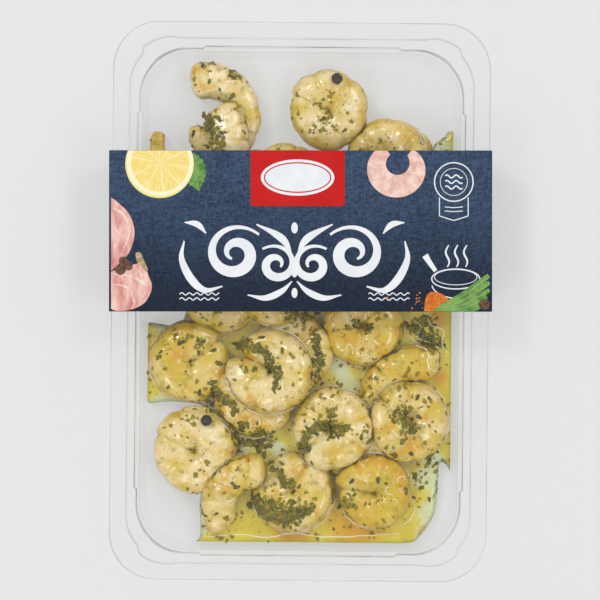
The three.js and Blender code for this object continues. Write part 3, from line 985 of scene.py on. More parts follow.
@dataclass(frozen=True)
class Curl:
    """One shrimp, as it lies seen from above.

    at is the middle of its curl. head is the direction of its thick end from there and turn how far the
    body runs on, in degrees. outer is the radius of its back and girth half of its depth, at head and tail.
    stain is how much oil has coloured it, from 0 to 1.
    """

    at: Pair
    head: float
    turn: float
    outer: Pair
    girth: Pair
    stain: float = 0.5
    taper_power = 1.5
    neck_share = 0.14
    neck_end = 0.2
    closed_from = 300
    tuck = 42

    def girth_at(self, share: np.ndarray) -> np.ndarray:
        """Gives half of the body's depth at shares of its length."""
        head, tail = self.girth
        neck = self.neck_share * np.maximum(0, 1 - share / self.neck_end) ** 2
        return head + (tail - head) * share**self.taper_power - neck * head

    def plan_at(self, share: np.ndarray) -> np.ndarray:
        """Gives the middle line seen from above at shares of its length."""
        tuck = self.tuck * smooth_step(0.7, 1.0, share) * (abs(self.turn) > self.closed_from)
        angle = np.radians(self.head + self.turn * share + math.copysign(1, self.turn) * tuck)
        radius = self.outer[0] + (self.outer[1] - self.outer[0]) * share - self.girth_at(share) - tuck * 0.03
        return np.column_stack([self.at[0] + radius * np.cos(angle), self.at[1] + radius * np.sin(angle)])


CURLS = (
    Curl((-41, 60), -93, -114, (22, 20.5), (6, 2.4), 0.6),
    Curl((36, 56), -82, 152, (20.5, 17.5), (7.4, 4), 0.6),
    Curl((35, 58), -160, -335, (16.5, 15.5), (8, 6.8), 0.5),
    Curl((-5.5, 47), -170, -335, (17, 15.5), (8.2, 6.4)),
    Curl((48.5, 27.5), -30, 325, (16.5, 14.5), (8, 6)),
    Curl((-52, 34), -145, -325, (15.5, 13.5), (7.6, 5.8)),
    Curl((17.5, 43), 145, -320, (15.5, 13.5), (7.6, 5.8)),
    Curl((-25.5, 34.5), 115, -320, (15, 13), (7.4, 5.4)),
    Curl((29.5, 15), 120, -325, (16, 14), (7.8, 6)),
    Curl((0, 23.5), 140, -320, (15.5, 13.5), (7.6, 5.6)),
    Curl((-49, 14.5), 130, -325, (15.5, 13.5), (7.6, 5.6)),
    Curl((-43.8, -24.6), 28, 338, (16.8, 16.4), (8.4, 7.4), 0.65),
    Curl((25.5, -9.5), 55, -340, (16.5, 16), (8.2, 7.4), 0.8),
    Curl((46.5, -40.5), 56, 165, (24, 22), (7.6, 6.4), 0.6),
    Curl((-17.5, -38.5), 125, 325, (16.5, 16), (7.8, 6.6), 0.5),
    Curl((-3, -20), 180, -265, (16, 17), (7.2, 6.8)),
    Curl((22, -57), 40, -265, (15, 15), (7.2, 6), 0.45),
    Curl((-2, -76.5), 75, -338, (17, 16.6), (8.4, 7.6), 0.45),
    Curl((30.2, -76.3), 185, -340, (15.6, 15), (7.7, 7.2), 1),
    Curl((-42, -60.4), 170, -350, (17.8, 17.2), (8.7, 7.8), 0.15),
    Curl((-40, 58), 130, -243, (13, 11), (5.6, 4.2), 0.3),
    Curl((-38.5, 74), 115, -163, (22, 22), (7.8, 4.4), 0.2),
    Curl((-43.5, 64.5), 56, -116, (22.6, 22), (7.6, 6.8), 0.1),
    Curl((10.5, 77), 170, -352, (16.5, 16), (8.1, 7), 0.2),
    Curl((-30.5, 4.5), 145, 330, (17.5, 16.5), (8.6, 7.4)),
    Curl((-9.5, 5), 175, 330, (15.5, 14.5), (7.7, 6.7)),
    Curl((44, -47.8), 150, -338, (16.5, 16.2), (7.8, 7.2), 0.5),
    Curl((13.2, -51), -148, 330, (17, 16.6), (8.4, 7), 0.3),
    Curl((-17.5, -82), 72, 150, (20.6, 21.4), (7.2, 6.8), 0.45),
    Curl((-12, -28), -212, 322, (17, 17.4), (8.5, 7), 0.35),
)


@dataclass
class Laid:
    """A shrimp at rest on those under it: its middle line's nodes and their girths."""

    curl: Curl
    nodes: np.ndarray
    girths: np.ndarray

    def spine(self, share: np.ndarray) -> np.ndarray:
        """Gives the middle line at shares of its length, as a smooth curve through the nodes."""
        last = len(self.nodes) - 1
        where = np.clip(share, 0, 1) * last
        start = np.minimum(where.astype(int), last - 1)
        t = (where - start)[:, None]
        ends = np.vstack([2 * self.nodes[0] - self.nodes[1], self.nodes, 2 * self.nodes[-1] - self.nodes[-2]])
        a, b, c, d = (ends[start + k] for k in range(4))
        return 0.5 * (2 * b + (c - a) * t + (2 * a - 5 * b + 4 * c - d) * t**2 + (3 * b - a - 3 * c + d) * t**3)


@dataclass
class ShrimpBed:
    """All shrimp, laid one after another on the tray's floor and on each other."""

    tray: Tray
    flatness: float = 0.78
    drape_nodes: int = 13
    contact_reach: float = 0.86
    softness: float = 0.6
    sag: float = 0.35
    passes: int = 6
    gap: float = 0.3
    segments: int = 6
    rings: int = 118
    sides: int = 46
    cap_share: float = 0.5
    groove_depth: float = 0.075
    belly_depth: float = 0.04
    slit_depth: float = 0.1
    fill: float = 0.6
    squareness: float = 2.5
    lump: float = 0.034
    centre_shade: float = 5.5
    seed: int = 7
    laid: list[Laid] = field(default_factory=list)
    pieces: list[bpy.types.Object] = field(default_factory=list)

    def settle(self, curl: Curl) -> Laid:
        """Finds how high each node of a shrimp lies.

        Args:
            curl: The shrimp.

        Returns:
            The shrimp with its nodes.
        """
        share = np.linspace(0, 1, self.drape_nodes)
        girth = curl.girth_at(share)
        flat = curl.plan_at(share)
        z = self.tray.floor + self.gap + girth * self.flatness
        for below in self.laid:
            apart = np.linalg.norm(flat[:, None] - below.nodes[None, :, :2], axis=2)
            both = girth[:, None] + below.girths[None]
            apart = np.minimum(apart / (both * self.contact_reach), 1)
            rise = both * self.flatness * self.softness * np.sqrt(1 - apart**2)
            over = np.where(apart < 1, below.nodes[None, :, 2] + rise, -np.inf)
            z = np.maximum(z, over.max(axis=1))
        plane = np.column_stack([flat, np.ones(len(z))])
        z = np.maximum(z, plane @ np.linalg.lstsq(plane, z, rcond=None)[0])
        for _ in range(self.passes):
            for i in range(1, len(z) - 1):
                z[i] = max(z[i], (z[i - 1] + z[i + 1]) / 2 - self.sag)
        z = np.minimum(z, self.tray.rim - self.gap - girth * self.flatness)
        return Laid(curl, np.column_stack([flat, z]), girth)

    def surface(self, shrimp: Laid, rng: random.Random) -> tuple[np.ndarray, dict[str, np.ndarray]]:
        """Works out a shrimp's skin, with the overlapping segments, belly crease and back slit.

        Args:
            shrimp: The shrimp at rest.
            rng: Source of what differs from one shrimp to the next.

        Returns:
            Points of a tube closed by poles, and the numbers that its finish reads.
        """
        share = np.concatenate([[0], 0.5 - 0.5 * np.cos(np.linspace(0.02, 1, self.rings) ** 1.0 * math.pi), [1]])
        share = 0.55 * share + 0.45 * np.linspace(0, 1, len(share))
        share[0], share[-1] = 0.0, 1.0
        curl = shrimp.curl
        spine = shrimp.spine(share)
        along = np.gradient(spine, axis=0)
        along /= np.linalg.norm(along, axis=1)[:, None]
        outward_side = np.column_stack([along[:, 1], -along[:, 0], np.zeros(len(share))]) * np.sign(curl.turn)
        outward_side /= np.linalg.norm(outward_side, axis=1)[:, None]
        length = np.linalg.norm(np.diff(spine, axis=0), axis=1).sum()
        girth = curl.girth_at(share)
        to_end = np.minimum(share, 1 - share) * length / (girth * self.cap_share)
        cap = np.where(to_end < 1, np.sqrt(1 - (1 - np.minimum(to_end, 1)) ** 2), 1)
        angle = np.linspace(0, 2 * math.pi, self.sides, endpoint=False)
        phase = rng.uniform(-0.12, 0.12)
        band = share * self.segments + phase
        off = np.abs(band - np.round(band))
        groove = np.exp(-((off / 0.09) ** 2)) * np.clip(np.minimum(share, 1 - share) * 16, 0, 1)
        swell = 0.03 * np.sin(math.pi * (band - np.floor(band)))
        belly = np.exp(-(((np.abs(angle) - math.pi) / 0.42) ** 2))
        slit_at = rng.uniform(0.35, 0.62)
        slit_side = np.exp(-(((angle - slit_at) / 0.13) ** 2))
        slit_end = rng.uniform(0.35, 0.72)
        slit_along = smooth_step(0.1, 0.2, share) * smooth_step(slit_end, slit_end - 0.15, share)
        slit = slit_along[:, None] * slit_side[None]
        outer = smooth_step(-0.35, 0.45, np.cos(angle))
        relief = 1 + swell[:, None] * outer[None] - self.groove_depth * groove[:, None] * outer[None]
        relief = relief - self.belly_depth * belly[None] - self.slit_depth * slit
        spots = [Vector((math.cos(a) * 1.3 + curl.at[0], math.sin(a) * 1.3, s * 9)) for s in share for a in angle]
        wave = np.array([noise.noise(spot) for spot in spots])
        relief = relief + self.lump * 2 * wave.reshape(relief.shape)
        spare = np.interp(share, [0, 1], curl.outer) - 2 * girth
        fill = 1 + self.fill * np.clip(spare, 0, 3) / girth * (abs(curl.turn) > 240)
        inward = np.where(np.cos(angle)[None] < 0, fill[:, None], 1.0)
        across, up = np.cos(angle), np.sin(angle)
        square = (np.abs(across) ** self.squareness + np.abs(up) ** self.squareness) ** (-1 / self.squareness)
        depth = (across * square)[None] * inward * (girth * cap)[:, None] * relief
        height = (up * square)[None] * (girth * cap * self.flatness)[:, None] * relief
        points = spine[:, None] + outward_side[:, None] * depth[:, :, None]
        points[:, :, 2] += height
        inner = points[1:-1].reshape(-1, 3)
        solid = np.vstack([spine[:1], inner, spine[-1:]])
        numbers = {
            "groove": (groove[:, None] * outer[None])[1:-1].ravel(),
            "slit": slit[1:-1].ravel(),
            "flank": np.broadcast_to(1 - np.clip(np.sin(angle) * 1.25, 0, 1)[None], relief.shape)[1:-1].ravel(),
            "tint": np.full(len(inner), curl.stain),
        }
        numbers = {key: np.concatenate([[0], values, [0]]) for key, values in numbers.items()}
        numbers["tint"][[0, -1]] = numbers["tint"][1]
        return self.tray.press_inside(solid), numbers

    def nook(self, points: np.ndarray, index: int) -> np.ndarray:
        """Finds how far points lie in the crease between one shrimp and the others.

        Args:
            points: The shrimp's points.
            index: Which shrimp it is.

        Returns:
            0 in the open, rising to 1 where another shrimp touches.
        """
        share = np.linspace(0, 1, 60)
        found = np.zeros(len(points))
        low, high = points.min(0) - 10, points.max(0) + 10
        for other, shrimp in enumerate(self.laid):
            if other == index:
                continue
            spine = shrimp.spine(share)
            near = ((spine > low) & (spine < high)).all(axis=1)
            if not near.any():
                continue
            girth = shrimp.curl.girth_at(share)[near]
            away = points[:, None] - spine[near][None]
            away[:, :, 2] /= self.flatness
            ratio = (np.linalg.norm(away, axis=2) / girth[None]).min(axis=1)
            found = np.maximum(found, smooth_step(1.4, 1.02, ratio))
        return found

    def build(self) -> None:
        """Lays and builds every shrimp, each in place of its solid."""
        for curl in CURLS:
            self.laid.append(self.settle(curl))
        rng = random.Random(self.seed)
        faces = tube_faces(self.rings, self.sides)
        for index, shrimp in enumerate(self.laid):
            points, numbers = self.surface(shrimp, rng)
            # Painted shade: the flesh round a closed curl's middle counts as a crease, so its finish paints it dark.
            centre_shade = np.hypot(points[:, 0] - shrimp.curl.at[0], points[:, 1] - shrimp.curl.at[1])
            centre_shade = smooth_step(self.centre_shade, 1, centre_shade) * (abs(shrimp.curl.turn) > 240) * 0.6
            numbers["nook"] = np.maximum(self.nook(points, index), centre_shade)
            name = f"shrimp_body_{index + 1:02d}"
            piece = outward(make_piece(name, points, faces, [FLESH], numbers))
            self.pieces.append(hold(piece, [f"shrimp_{index + 1:02d}"]))


@dataclass
class Pool:
    """The pool of herb oil between the shrimp, thin at its free edges."""

    tray: Tray
    height: float = 5.5
    step: float = 1.1
    shore: float = 7.0
    meniscus: float = 1.6
    edge: tuple[Pair, ...] = (
        (-71.5, -10.5), (-50.5, -10), (-46, -4.5), (-41.5, 6), (-38, 24), (-31.5, 44), (-24.5, 58.5),
        (-18, 61.5), (-11.5, 59.5), (11.5, 57), (39, 56.5), (52, 62), (56.5, 66), (69, 66), (70, -64.5),
        (58, -64), (56.5, -74.5), (55, -86), (48.5, -96), (41, -108), (1, -108.5), (-42.5, -109),
        (-39.5, -95), (-39.5, -79), (-33, -70.5), (-25, -60), (-29.5, -49.5), (-39.5, -42.5), (-51, -41),
        (-71, -39.5),
    )
    spice_spots: tuple[tuple[float, float, float], ...] = (
        (24, -90, 17), (-2, -95, 12), (56, -6, 6), (52, -93, 5), (-62, -22, 7), (-55, 62, 5), (57, -30, 5),
    )
    clear_spots: tuple[tuple[float, float, float], ...] = (
        (20, -33, 8), (16, -26, 6), (-14, -57, 7), (-8, -60, 5), (55, -66, 8), (50, -72, 6), (-30, -72, 8),
        (0, 40, 20), (52, -84, 6), (44, -100, 5), (56, 60, 8),
    )

    def outline(self) -> np.ndarray:
        """Gives the pool's edge as a smooth closed line.

        Returns:
            Rows of x and y.
        """
        knots = np.array(self.edge, float)
        count = len(knots)
        t = np.linspace(0, 1, 6, endpoint=False)[:, None]
        line = []
        for i in range(count):
            a, b, c, d = (knots[(i + k - 1) % count] for k in range(4))
            line.append(0.5 * (2 * b + (c - a) * t + (2 * a - 5 * b + 4 * c - d) * t**2 + (3 * b - a - 3 * c + d) * t**3))
        return np.vstack(line)

    def shore_distance(
        self, points: np.ndarray, line: np.ndarray, walled: np.ndarray
    ) -> tuple[np.ndarray, np.ndarray, np.ndarray]:
        """Gives how far points lie inside the edge, below 0 outside it.

        Args:
            points: Rows of x and y.
            line: The closed edge.
            walled: For each point of the edge, whether it leans on the wall.

        Returns:
            Distances in millimetres, the nearest places on the edge, and 1 where that place is at the wall.
        """
        start, end = line, np.roll(line, -1, axis=0)
        span = end - start
        away = points[:, None] - start[None]
        t = np.clip((away * span[None]).sum(2) / np.maximum((span**2).sum(1), 1e-9)[None], 0, 1)
        every = np.linalg.norm(away - t[:, :, None] * span[None], axis=2)
        best = every.argmin(axis=1)
        row = np.arange(len(points))
        distance = every[row, best]
        nearest = start[best] + t[row, best][:, None] * span[best]
        x, y = points[:, :1], points[:, 1:]
        crosses = (start[None, :, 1] > y) != (end[None, :, 1] > y)
        slope = np.where(span[:, 1] == 0, 1e-9, span[:, 1])
        hit = x < start[None, :, 0] + (y - start[None, :, 1]) * (span[:, 0] / slope)[None]
        inside = (crosses & hit).sum(axis=1) % 2 == 1
        at_wall = (walled & np.roll(walled, -1))[best].astype(float)
        return np.where(inside, distance, -distance), nearest, at_wall

    def build(self) -> bpy.types.Object:
        """Builds the pool as a level sheet with a rounded shore, closed underneath.

        Returns:
            The pool, in place of its solid.
        """
        line = self.outline()
        level = np.column_stack([line, np.full(len(line), self.height)])
        edge = self.tray.press_inside(level, 0.15)[:, :2]
        walled = np.linalg.norm(edge - line, axis=1) > 0.2
        xs = np.arange(-63, 63.01, self.step)
        ys = np.arange(-101, 70.01, self.step)
        grid = np.array([(x, y) for y in ys for x in xs])
        shore, nearest, at_wall = self.shore_distance(grid, edge, walled)
        close = np.abs(shore) < self.step * 0.5
        grid[close] = nearest[close]
        shore[close] = 0
        room = np.column_stack([grid, np.full(len(grid), self.height)])
        kept = shore >= 0
        columns = len(xs)
        faces = []
        for row in range(len(ys) - 1):
            for column in range(columns - 1):
                i = row * columns + column
                corners = [c for c in (i, i + 1, i + columns + 1, i + columns) if kept[c]]
                if len(corners) > 2:
                    faces.append(tuple(corners))
        used = np.unique(np.concatenate([np.array(face) for face in faces]))
        index = {old: new for new, old in enumerate(used)}
        faces = [tuple(index[c] for c in face) for face in faces]
        top = room[used]
        beach = np.clip(shore[used] / self.meniscus + at_wall[used], 0, 1)
        top[:, 2] -= (1 - np.sqrt(1 - (1 - beach) ** 2)) * (self.height - self.tray.floor - 0.4)
        bottom = top.copy()
        bottom[:, 2] = self.tray.floor + 0.12
        count = len(used)
        border: dict[tuple[int, int], int] = {}
        for face in faces:
            for a, b in zip(face, face[1:] + face[:1]):
                border[(a, b)] = border.get((a, b), 0) + 1
        rims = [(a, b) for a, b in border if (b, a) not in border]
        walls = [(b, a, a + count, b + count) for a, b in rims]
        under = [tuple(c + count for c in face[::-1]) for face in faces]
        depth = np.clip(shore[used] / self.shore + at_wall[used] * 0.8, 0, 1)
        spice = np.zeros(count)
        for x, y, radius in self.spice_spots:
            away = np.hypot(top[:, 0] - x, top[:, 1] - y)
            spice = np.maximum(spice, smooth_step(radius, radius * 0.2, away))
        for x, y, radius in self.clear_spots:
            away = np.hypot(top[:, 0] - x, top[:, 1] - y)
            depth *= 1 - 0.8 * smooth_step(radius, radius * 0.3, away)
        rim = smooth_step(self.meniscus, 0.2, shore[used])
        numbers = {"depth": np.tile(depth, 2), "spice": np.tile(spice, 2), "rim": np.tile(rim, 2)}
        piece = make_piece("oil_pool", np.vstack([top, bottom]), faces + walls + under, [OIL], numbers)
        return hold(outward(piece), ["marinade"])


@dataclass(frozen=True)
class Flake:
    """The form of one kind of crumb: a small bent plate with an uneven outline."""

    name: str
    sides: int = 7
    stretch: float = 1.6
    thickness: float = 0.28
    bend: float = 0.04
    uneven: float = 0.42
    seed: int = 1

    def form(self, finish: Finish) -> bpy.types.Object:
        """Builds the crumb about 1 mm in radius, out of sight of the scene.

        Args:
            finish: Its finish.

        Returns:
            The crumb, as an object outside every collection.
        """
        rng = random.Random(self.seed)
        points = []
        for level, shrink in ((-0.5, 0.8), (0.1, 1.0), (0.5, 0.72)):
            state = rng.getstate()
            for side in range(self.sides):
                angle = math.tau * side / self.sides
                reach = shrink * (1 + rng.uniform(-self.uneven, self.uneven))
                x, y = self.stretch * reach * math.cos(angle), reach * math.sin(angle)
                points.append((x, y, level * self.thickness + self.bend * (x * x - y * y * 0.6)))
            rng.setstate(state)
        top = len(points)
        points += [(0, 0, -0.55 * self.thickness), (0, 0, 0.65 * self.thickness)]
        faces: list[tuple[int, ...]] = []
        for side in range(self.sides):
            after = (side + 1) % self.sides
            faces.append((top, after, side))
            for level in (0, self.sides):
                faces.append((level + side, level + after, level + after + self.sides, level + side + self.sides))
            faces.append((2 * self.sides + side, 2 * self.sides + after, top + 1))
        mesh = bpy.data.meshes.new(self.name)
        mesh.from_pydata((np.array(points) * MM).tolist(), [], faces)
        mesh.materials.append(finish.material())
        mesh.polygons.foreach_set("use_smooth", [True] * len(mesh.polygons))
        return bpy.data.objects.new(self.name, mesh)


class Recipe:
    """A Geometry Nodes tree, filled by plain calls."""

    def __init__(self, name: str) -> None:
        """Starts a tree that takes and gives geometry."""
        self.tree = bpy.data.node_groups.new(name, "GeometryNodeTree")
        self.tree.is_modifier = True
        self.tree.interface.new_socket("Geometry", in_out="INPUT", socket_type="NodeSocketGeometry")
        self.tree.interface.new_socket("Geometry", in_out="OUTPUT", socket_type="NodeSocketGeometry")
        self.known: dict[str, object] = {}
        self.source = self.tree.nodes.new("NodeGroupInput")

    def ask(self, name: str, kind: str, value: object) -> bpy.types.NodeSocket:
        """Adds a named input.

        Args:
            name: The input's name.
            kind: Its kind: Float, Int, Object or Material.
            value: What the modifier hands in.

        Returns:
            The input, ready to link from.
        """
        self.tree.interface.new_socket(name, in_out="INPUT", socket_type="NodeSocket" + kind)
        self.known[name] = value
        return self.source.outputs[name]

    def node(self, kind: str, settings: dict | None = None, values: dict | None = None) -> bpy.types.Node:
        """Adds a node.

        Args:
            kind: The node's type name.
            settings: Properties of the node, set first.
            values: Numbers or sockets for its inputs, by name or number.

        Returns:
            The new node.
        """
        made = self.tree.nodes.new(kind)
        for name, value in (settings or {}).items():
            setattr(made, name, value)
        for name, value in (values or {}).items():
            if isinstance(value, bpy.types.NodeSocket):
                self.tree.links.new(value, made.inputs[name])
            else:
                made.inputs[name].default_value = value
        return made

    def math(self, operation: str, a: object, b: object) -> bpy.types.NodeSocket:
        """Adds a Math node and gives its result."""
        return self.node("ShaderNodeMath", {"operation": operation}, {0: a, 1: b}).outputs[0]

    def finish(self, geometry: bpy.types.NodeSocket, material: bpy.types.NodeSocket) -> None:
        """Ends the tree by making instances real and setting their material."""
        real = self.node("GeometryNodeRealizeInstances", values={0: geometry})
        dressed = self.node("GeometryNodeSetMaterial", values={"Geometry": real.outputs[0], "Material": material})
        out = self.tree.nodes.new("NodeGroupOutput")
        self.tree.links.new(dressed.outputs[0], out.inputs[0])

    def run(self, piece: bpy.types.Object) -> bpy.types.Object:
        """Runs the tree on a piece and keeps the result as its plain mesh.

        Args:
            piece: The piece whose mesh the tree takes.

        Returns:
            The same piece, with its new mesh and no modifier.
        """
        modifier = piece.modifiers.new("recipe", "NODES")
        modifier.node_group = self.tree
        for item in self.tree.interface.items_tree:
            if item.in_out == "INPUT" and item.name in self.known:
                modifier[item.identifier] = self.known[item.name]
        bpy.context.view_layer.update()
        evaluated = piece.evaluated_get(bpy.context.evaluated_depsgraph_get())
        made = bpy.data.meshes.new_from_object(evaluated)
        piece.modifiers.remove(modifier)
        old = piece.data
        piece.data = made
        bpy.data.meshes.remove(old)
        return piece


@dataclass(frozen=True)
class Sprinkle:
    """One kind of crumb, strewn over whatever lies in its way."""

    name: str
    flake: Flake
    finish: Finish
    density: float
    sizes: Pair
    patch: float = 9.0
    bare: float = 0.45
    heaps: float = 0.0
    creases: float = 0.0
    lift: float = 0.05
    seed: int = 1

    def strew(self, ground: bpy.types.Object) -> bpy.types.Object:
        """Strews the crumbs on the parts of the ground that can be seen from above.

        Args:
            ground: What they fall on, with the numbers heap and crease on its points.

        Returns:
            All the crumbs, as one piece.
        """
        recipe = Recipe(self.name)
        mesh = recipe.source.outputs[0]
        density = recipe.ask("Density", "Float", self.density * 1e6)
        seed = recipe.ask("Seed", "Int", self.seed)
        small = recipe.ask("Smallest", "Float", self.sizes[0])
        large = recipe.ask("Largest", "Float", self.sizes[1])
        crumb = recipe.ask("Crumb", "Object", self.flake.form(self.finish))
        dressing = recipe.ask("Finish", "Material", self.finish.material())
        heap = recipe.node("GeometryNodeInputNamedAttribute", {"data_type": "FLOAT"}, {"Name": "heap"})
        crease = recipe.node("GeometryNodeInputNamedAttribute", {"data_type": "FLOAT"}, {"Name": "crease"})
        noise_values = {"W": float(self.seed), "Scale": 1 / (self.patch * MM), "Detail": 2.0}
        cloud = recipe.node("ShaderNodeTexNoise", {"noise_dimensions": "4D"}, noise_values)
        span = {"Value": cloud.outputs[0], "From Min": self.bare, "From Max": self.bare + 0.2}
        patches = recipe.node("ShaderNodeMapRange", {"interpolation_type": "SMOOTHSTEP"}, span)
        more = recipe.math("MULTIPLY", heap.outputs[0], self.heaps)
        more = recipe.math("ADD", more, recipe.math("MULTIPLY", crease.outputs[0], self.creases))
        amount = recipe.math("MULTIPLY", density, recipe.math("ADD", patches.outputs[0], more))
        points = recipe.node("GeometryNodeDistributePointsOnFaces", None, {"Mesh": mesh, "Seed": seed})
        recipe.tree.links.new(amount, next(s for s in points.inputs if s.name == "Density" and s.enabled))
        place = recipe.node("GeometryNodeInputPosition")
        start = recipe.node("ShaderNodeVectorMath", {"operation": "ADD"}, {0: place.outputs[0], 1: (0, 0, 0.4 * MM)})
        up = {"Target Geometry": mesh, "Source Position": start.outputs[0], "Ray Direction": (0, 0, 1)}
        ray = recipe.node("GeometryNodeRaycast", None, {**up, "Ray Length": 40 * MM})
        open_points = recipe.node(
            "GeometryNodeDeleteGeometry", {"domain": "POINT"}, {0: points.outputs["Points"], 1: ray.outputs["Is Hit"]}
        )
        spin = recipe.node("FunctionNodeRandomValue", {"data_type": "FLOAT_VECTOR"}, {"Seed": seed})
        spin.inputs["Min"].default_value = (-0.25, -0.25, 0)
        spin.inputs["Max"].default_value = (0.25, 0.25, math.tau)
        turned = recipe.node(
            "FunctionNodeRotateRotation",
            {"rotation_space": "LOCAL"},
            {0: points.outputs["Rotation"], 1: spin.outputs[0]},
        )
        size = recipe.node("FunctionNodeRandomValue", {"data_type": "FLOAT"})
        floats = [socket for socket in size.inputs if socket.type == "VALUE"]
        recipe.tree.links.new(small, floats[0])
        recipe.tree.links.new(large, floats[1])
        recipe.tree.links.new(seed, size.inputs["Seed"])
        scale = next(s for s in size.outputs if s.type == "VALUE" and s.enabled)
        form = recipe.node("GeometryNodeObjectInfo", None, {"Object": crumb})
        laid = {"Points": open_points.outputs[0], "Instance": form.outputs["Geometry"]}
        laid |= {"Rotation": turned.outputs[0], "Scale": scale}
        crumbs = recipe.node("GeometryNodeInstanceOnPoints", None, laid)
        recipe.finish(crumbs.outputs[0], dressing)
        piece = bpy.data.objects.new(self.name, ground.data.copy())
        bpy.context.scene.collection.objects.link(piece)
        return recipe.run(piece)


@dataclass
class HerbPasteAndShadow:
    """Dark wet masses of herb or spice, gathered in the curls and creases, and one dark mass that is a painted shadow
    beside a shrimp: half widths and middle lines.
    """

    name: str
    finish: Finish
    lines: tuple[tuple[float, tuple[Pair, ...]], ...]
    sides: int = 20
    flatness: float = 0.3
    ragged: float = 0.8
    grain: float = 0.85
    fringe: float = 1.8

    def build(self, ground: bpy.types.Object) -> bpy.types.Object:
        """Builds each mass as a flat ragged roll that lies on the ground.

        Args:
            ground: What the masses lie on.

        Returns:
            The piece.
        """
        tree = BVHTree.FromPolygons(
            [vertex.co for vertex in ground.data.vertices],
            [tuple(polygon.vertices) for polygon in ground.data.polygons],
        )
        points: list[np.ndarray] = []
        faces: list[tuple[int, ...]] = []
        around = np.linspace(0, math.tau, self.sides, endpoint=False)
        for width, knots in self.lines:
            flat = smooth_line(knots, 14)
            hits = [tree.ray_cast(Vector((x, y, 40)) * MM, Vector((0, 0, -1)))[0] for x, y in flat]
            height = np.array([hit.z / MM if hit else 3.0 for hit in hits])
            padded = np.pad(height, 3, mode="edge")
            height = np.convolve(padded, np.ones(7) / 7, mode="valid")
            along = np.gradient(flat, axis=0)
            along /= np.linalg.norm(along, axis=1)[:, None]
            side = np.column_stack([along[:, 1], -along[:, 0]])
            share = np.linspace(0.03, 0.97, len(flat))
            reach = width * np.sin(math.pi * share) ** 0.45
            rows = []
            for i, (x, y) in enumerate(flat):
                for angle in around:
                    across = math.cos(angle) * reach[i]
                    px, py = x + side[i, 0] * across, y + side[i, 1] * across
                    rough = 1 + self.ragged * noise.noise(Vector((px, py, math.sin(angle))) * self.grain)
                    rough += self.ragged * 0.4 * noise.noise(Vector((px, py, 5)) * self.grain * 2.7)
                    across *= rough
                    up = math.sin(angle) * reach[i] * self.flatness * rough
                    rows.append((x + side[i, 0] * across, y + side[i, 1] * across, height[i] + up))
            start = sum(len(p) for p in points)
            ends = [[(*flat[0], height[0])], [(*flat[-1], height[-1])]]
            points.append(np.vstack([ends[0], rows, ends[1]]))
            faces += [tuple(v + start for v in face) for face in tube_faces(len(flat), self.sides)]
        piece = make_piece(self.name, np.vstack(points), faces, [self.finish])
        return hold(outward(piece))


PASTES = (
    HerbPasteAndShadow("herb_paste", HERB_PASTE_AND_SHADOW, (
        (1.2, ((-22.6, -17), (-17.7, -18.5), (-12.4, -21.9), (-10.1, -27.3))),
        (0.4, ((-10.1, -27), (-9, -31), (-9.3, -34.9))),
        # Painted shadow: this dark mass stands for the shade where one shrimp's edge lies against the next.
        (0.8, ((5.2, -12), (7.5, -19), (8.2, -25), (6, -31))),
        (0.8, ((-4.7, -5.6), (-1, -5), (2.6, -6.8))),
        (1.3, ((2.1, -57.8), (4.4, -52.5), (9.8, -49.4), (14.4, -51.7))),
        (0.5, ((14, -51.5), (17, -50), (19.7, -50.2))),
        (1.9, ((-17, -81.2), (-11.6, -85.3), (-4.7, -86.8), (3, -83.4))),
        (0.8, ((-34.5, -34), (-30, -39), (-25, -44))),
        (1.5, ((43.4, -9.5), (48, -11.5), (53.5, -18.3))),
        (1.0, ((-23.8, -57), (-18, -57.5), (-13.1, -55.5))),
        (0.9, ((-40, 76), (-37, 71.5), (-34.5, 66.5))),
    )),
    HerbPasteAndShadow("spice_paste", SPICE_PASTE, (
        (1.3, ((39.9, -46), (43.4, -48.2), (46, -51.4))),
        (0.8, ((-8.6, -66.2), (-6.8, -70), (-5.8, -73.5), (-2, -73.3))),
        (0.8, ((22, -8.2), (25, -9), (28.1, -11.8))),
    )),
)


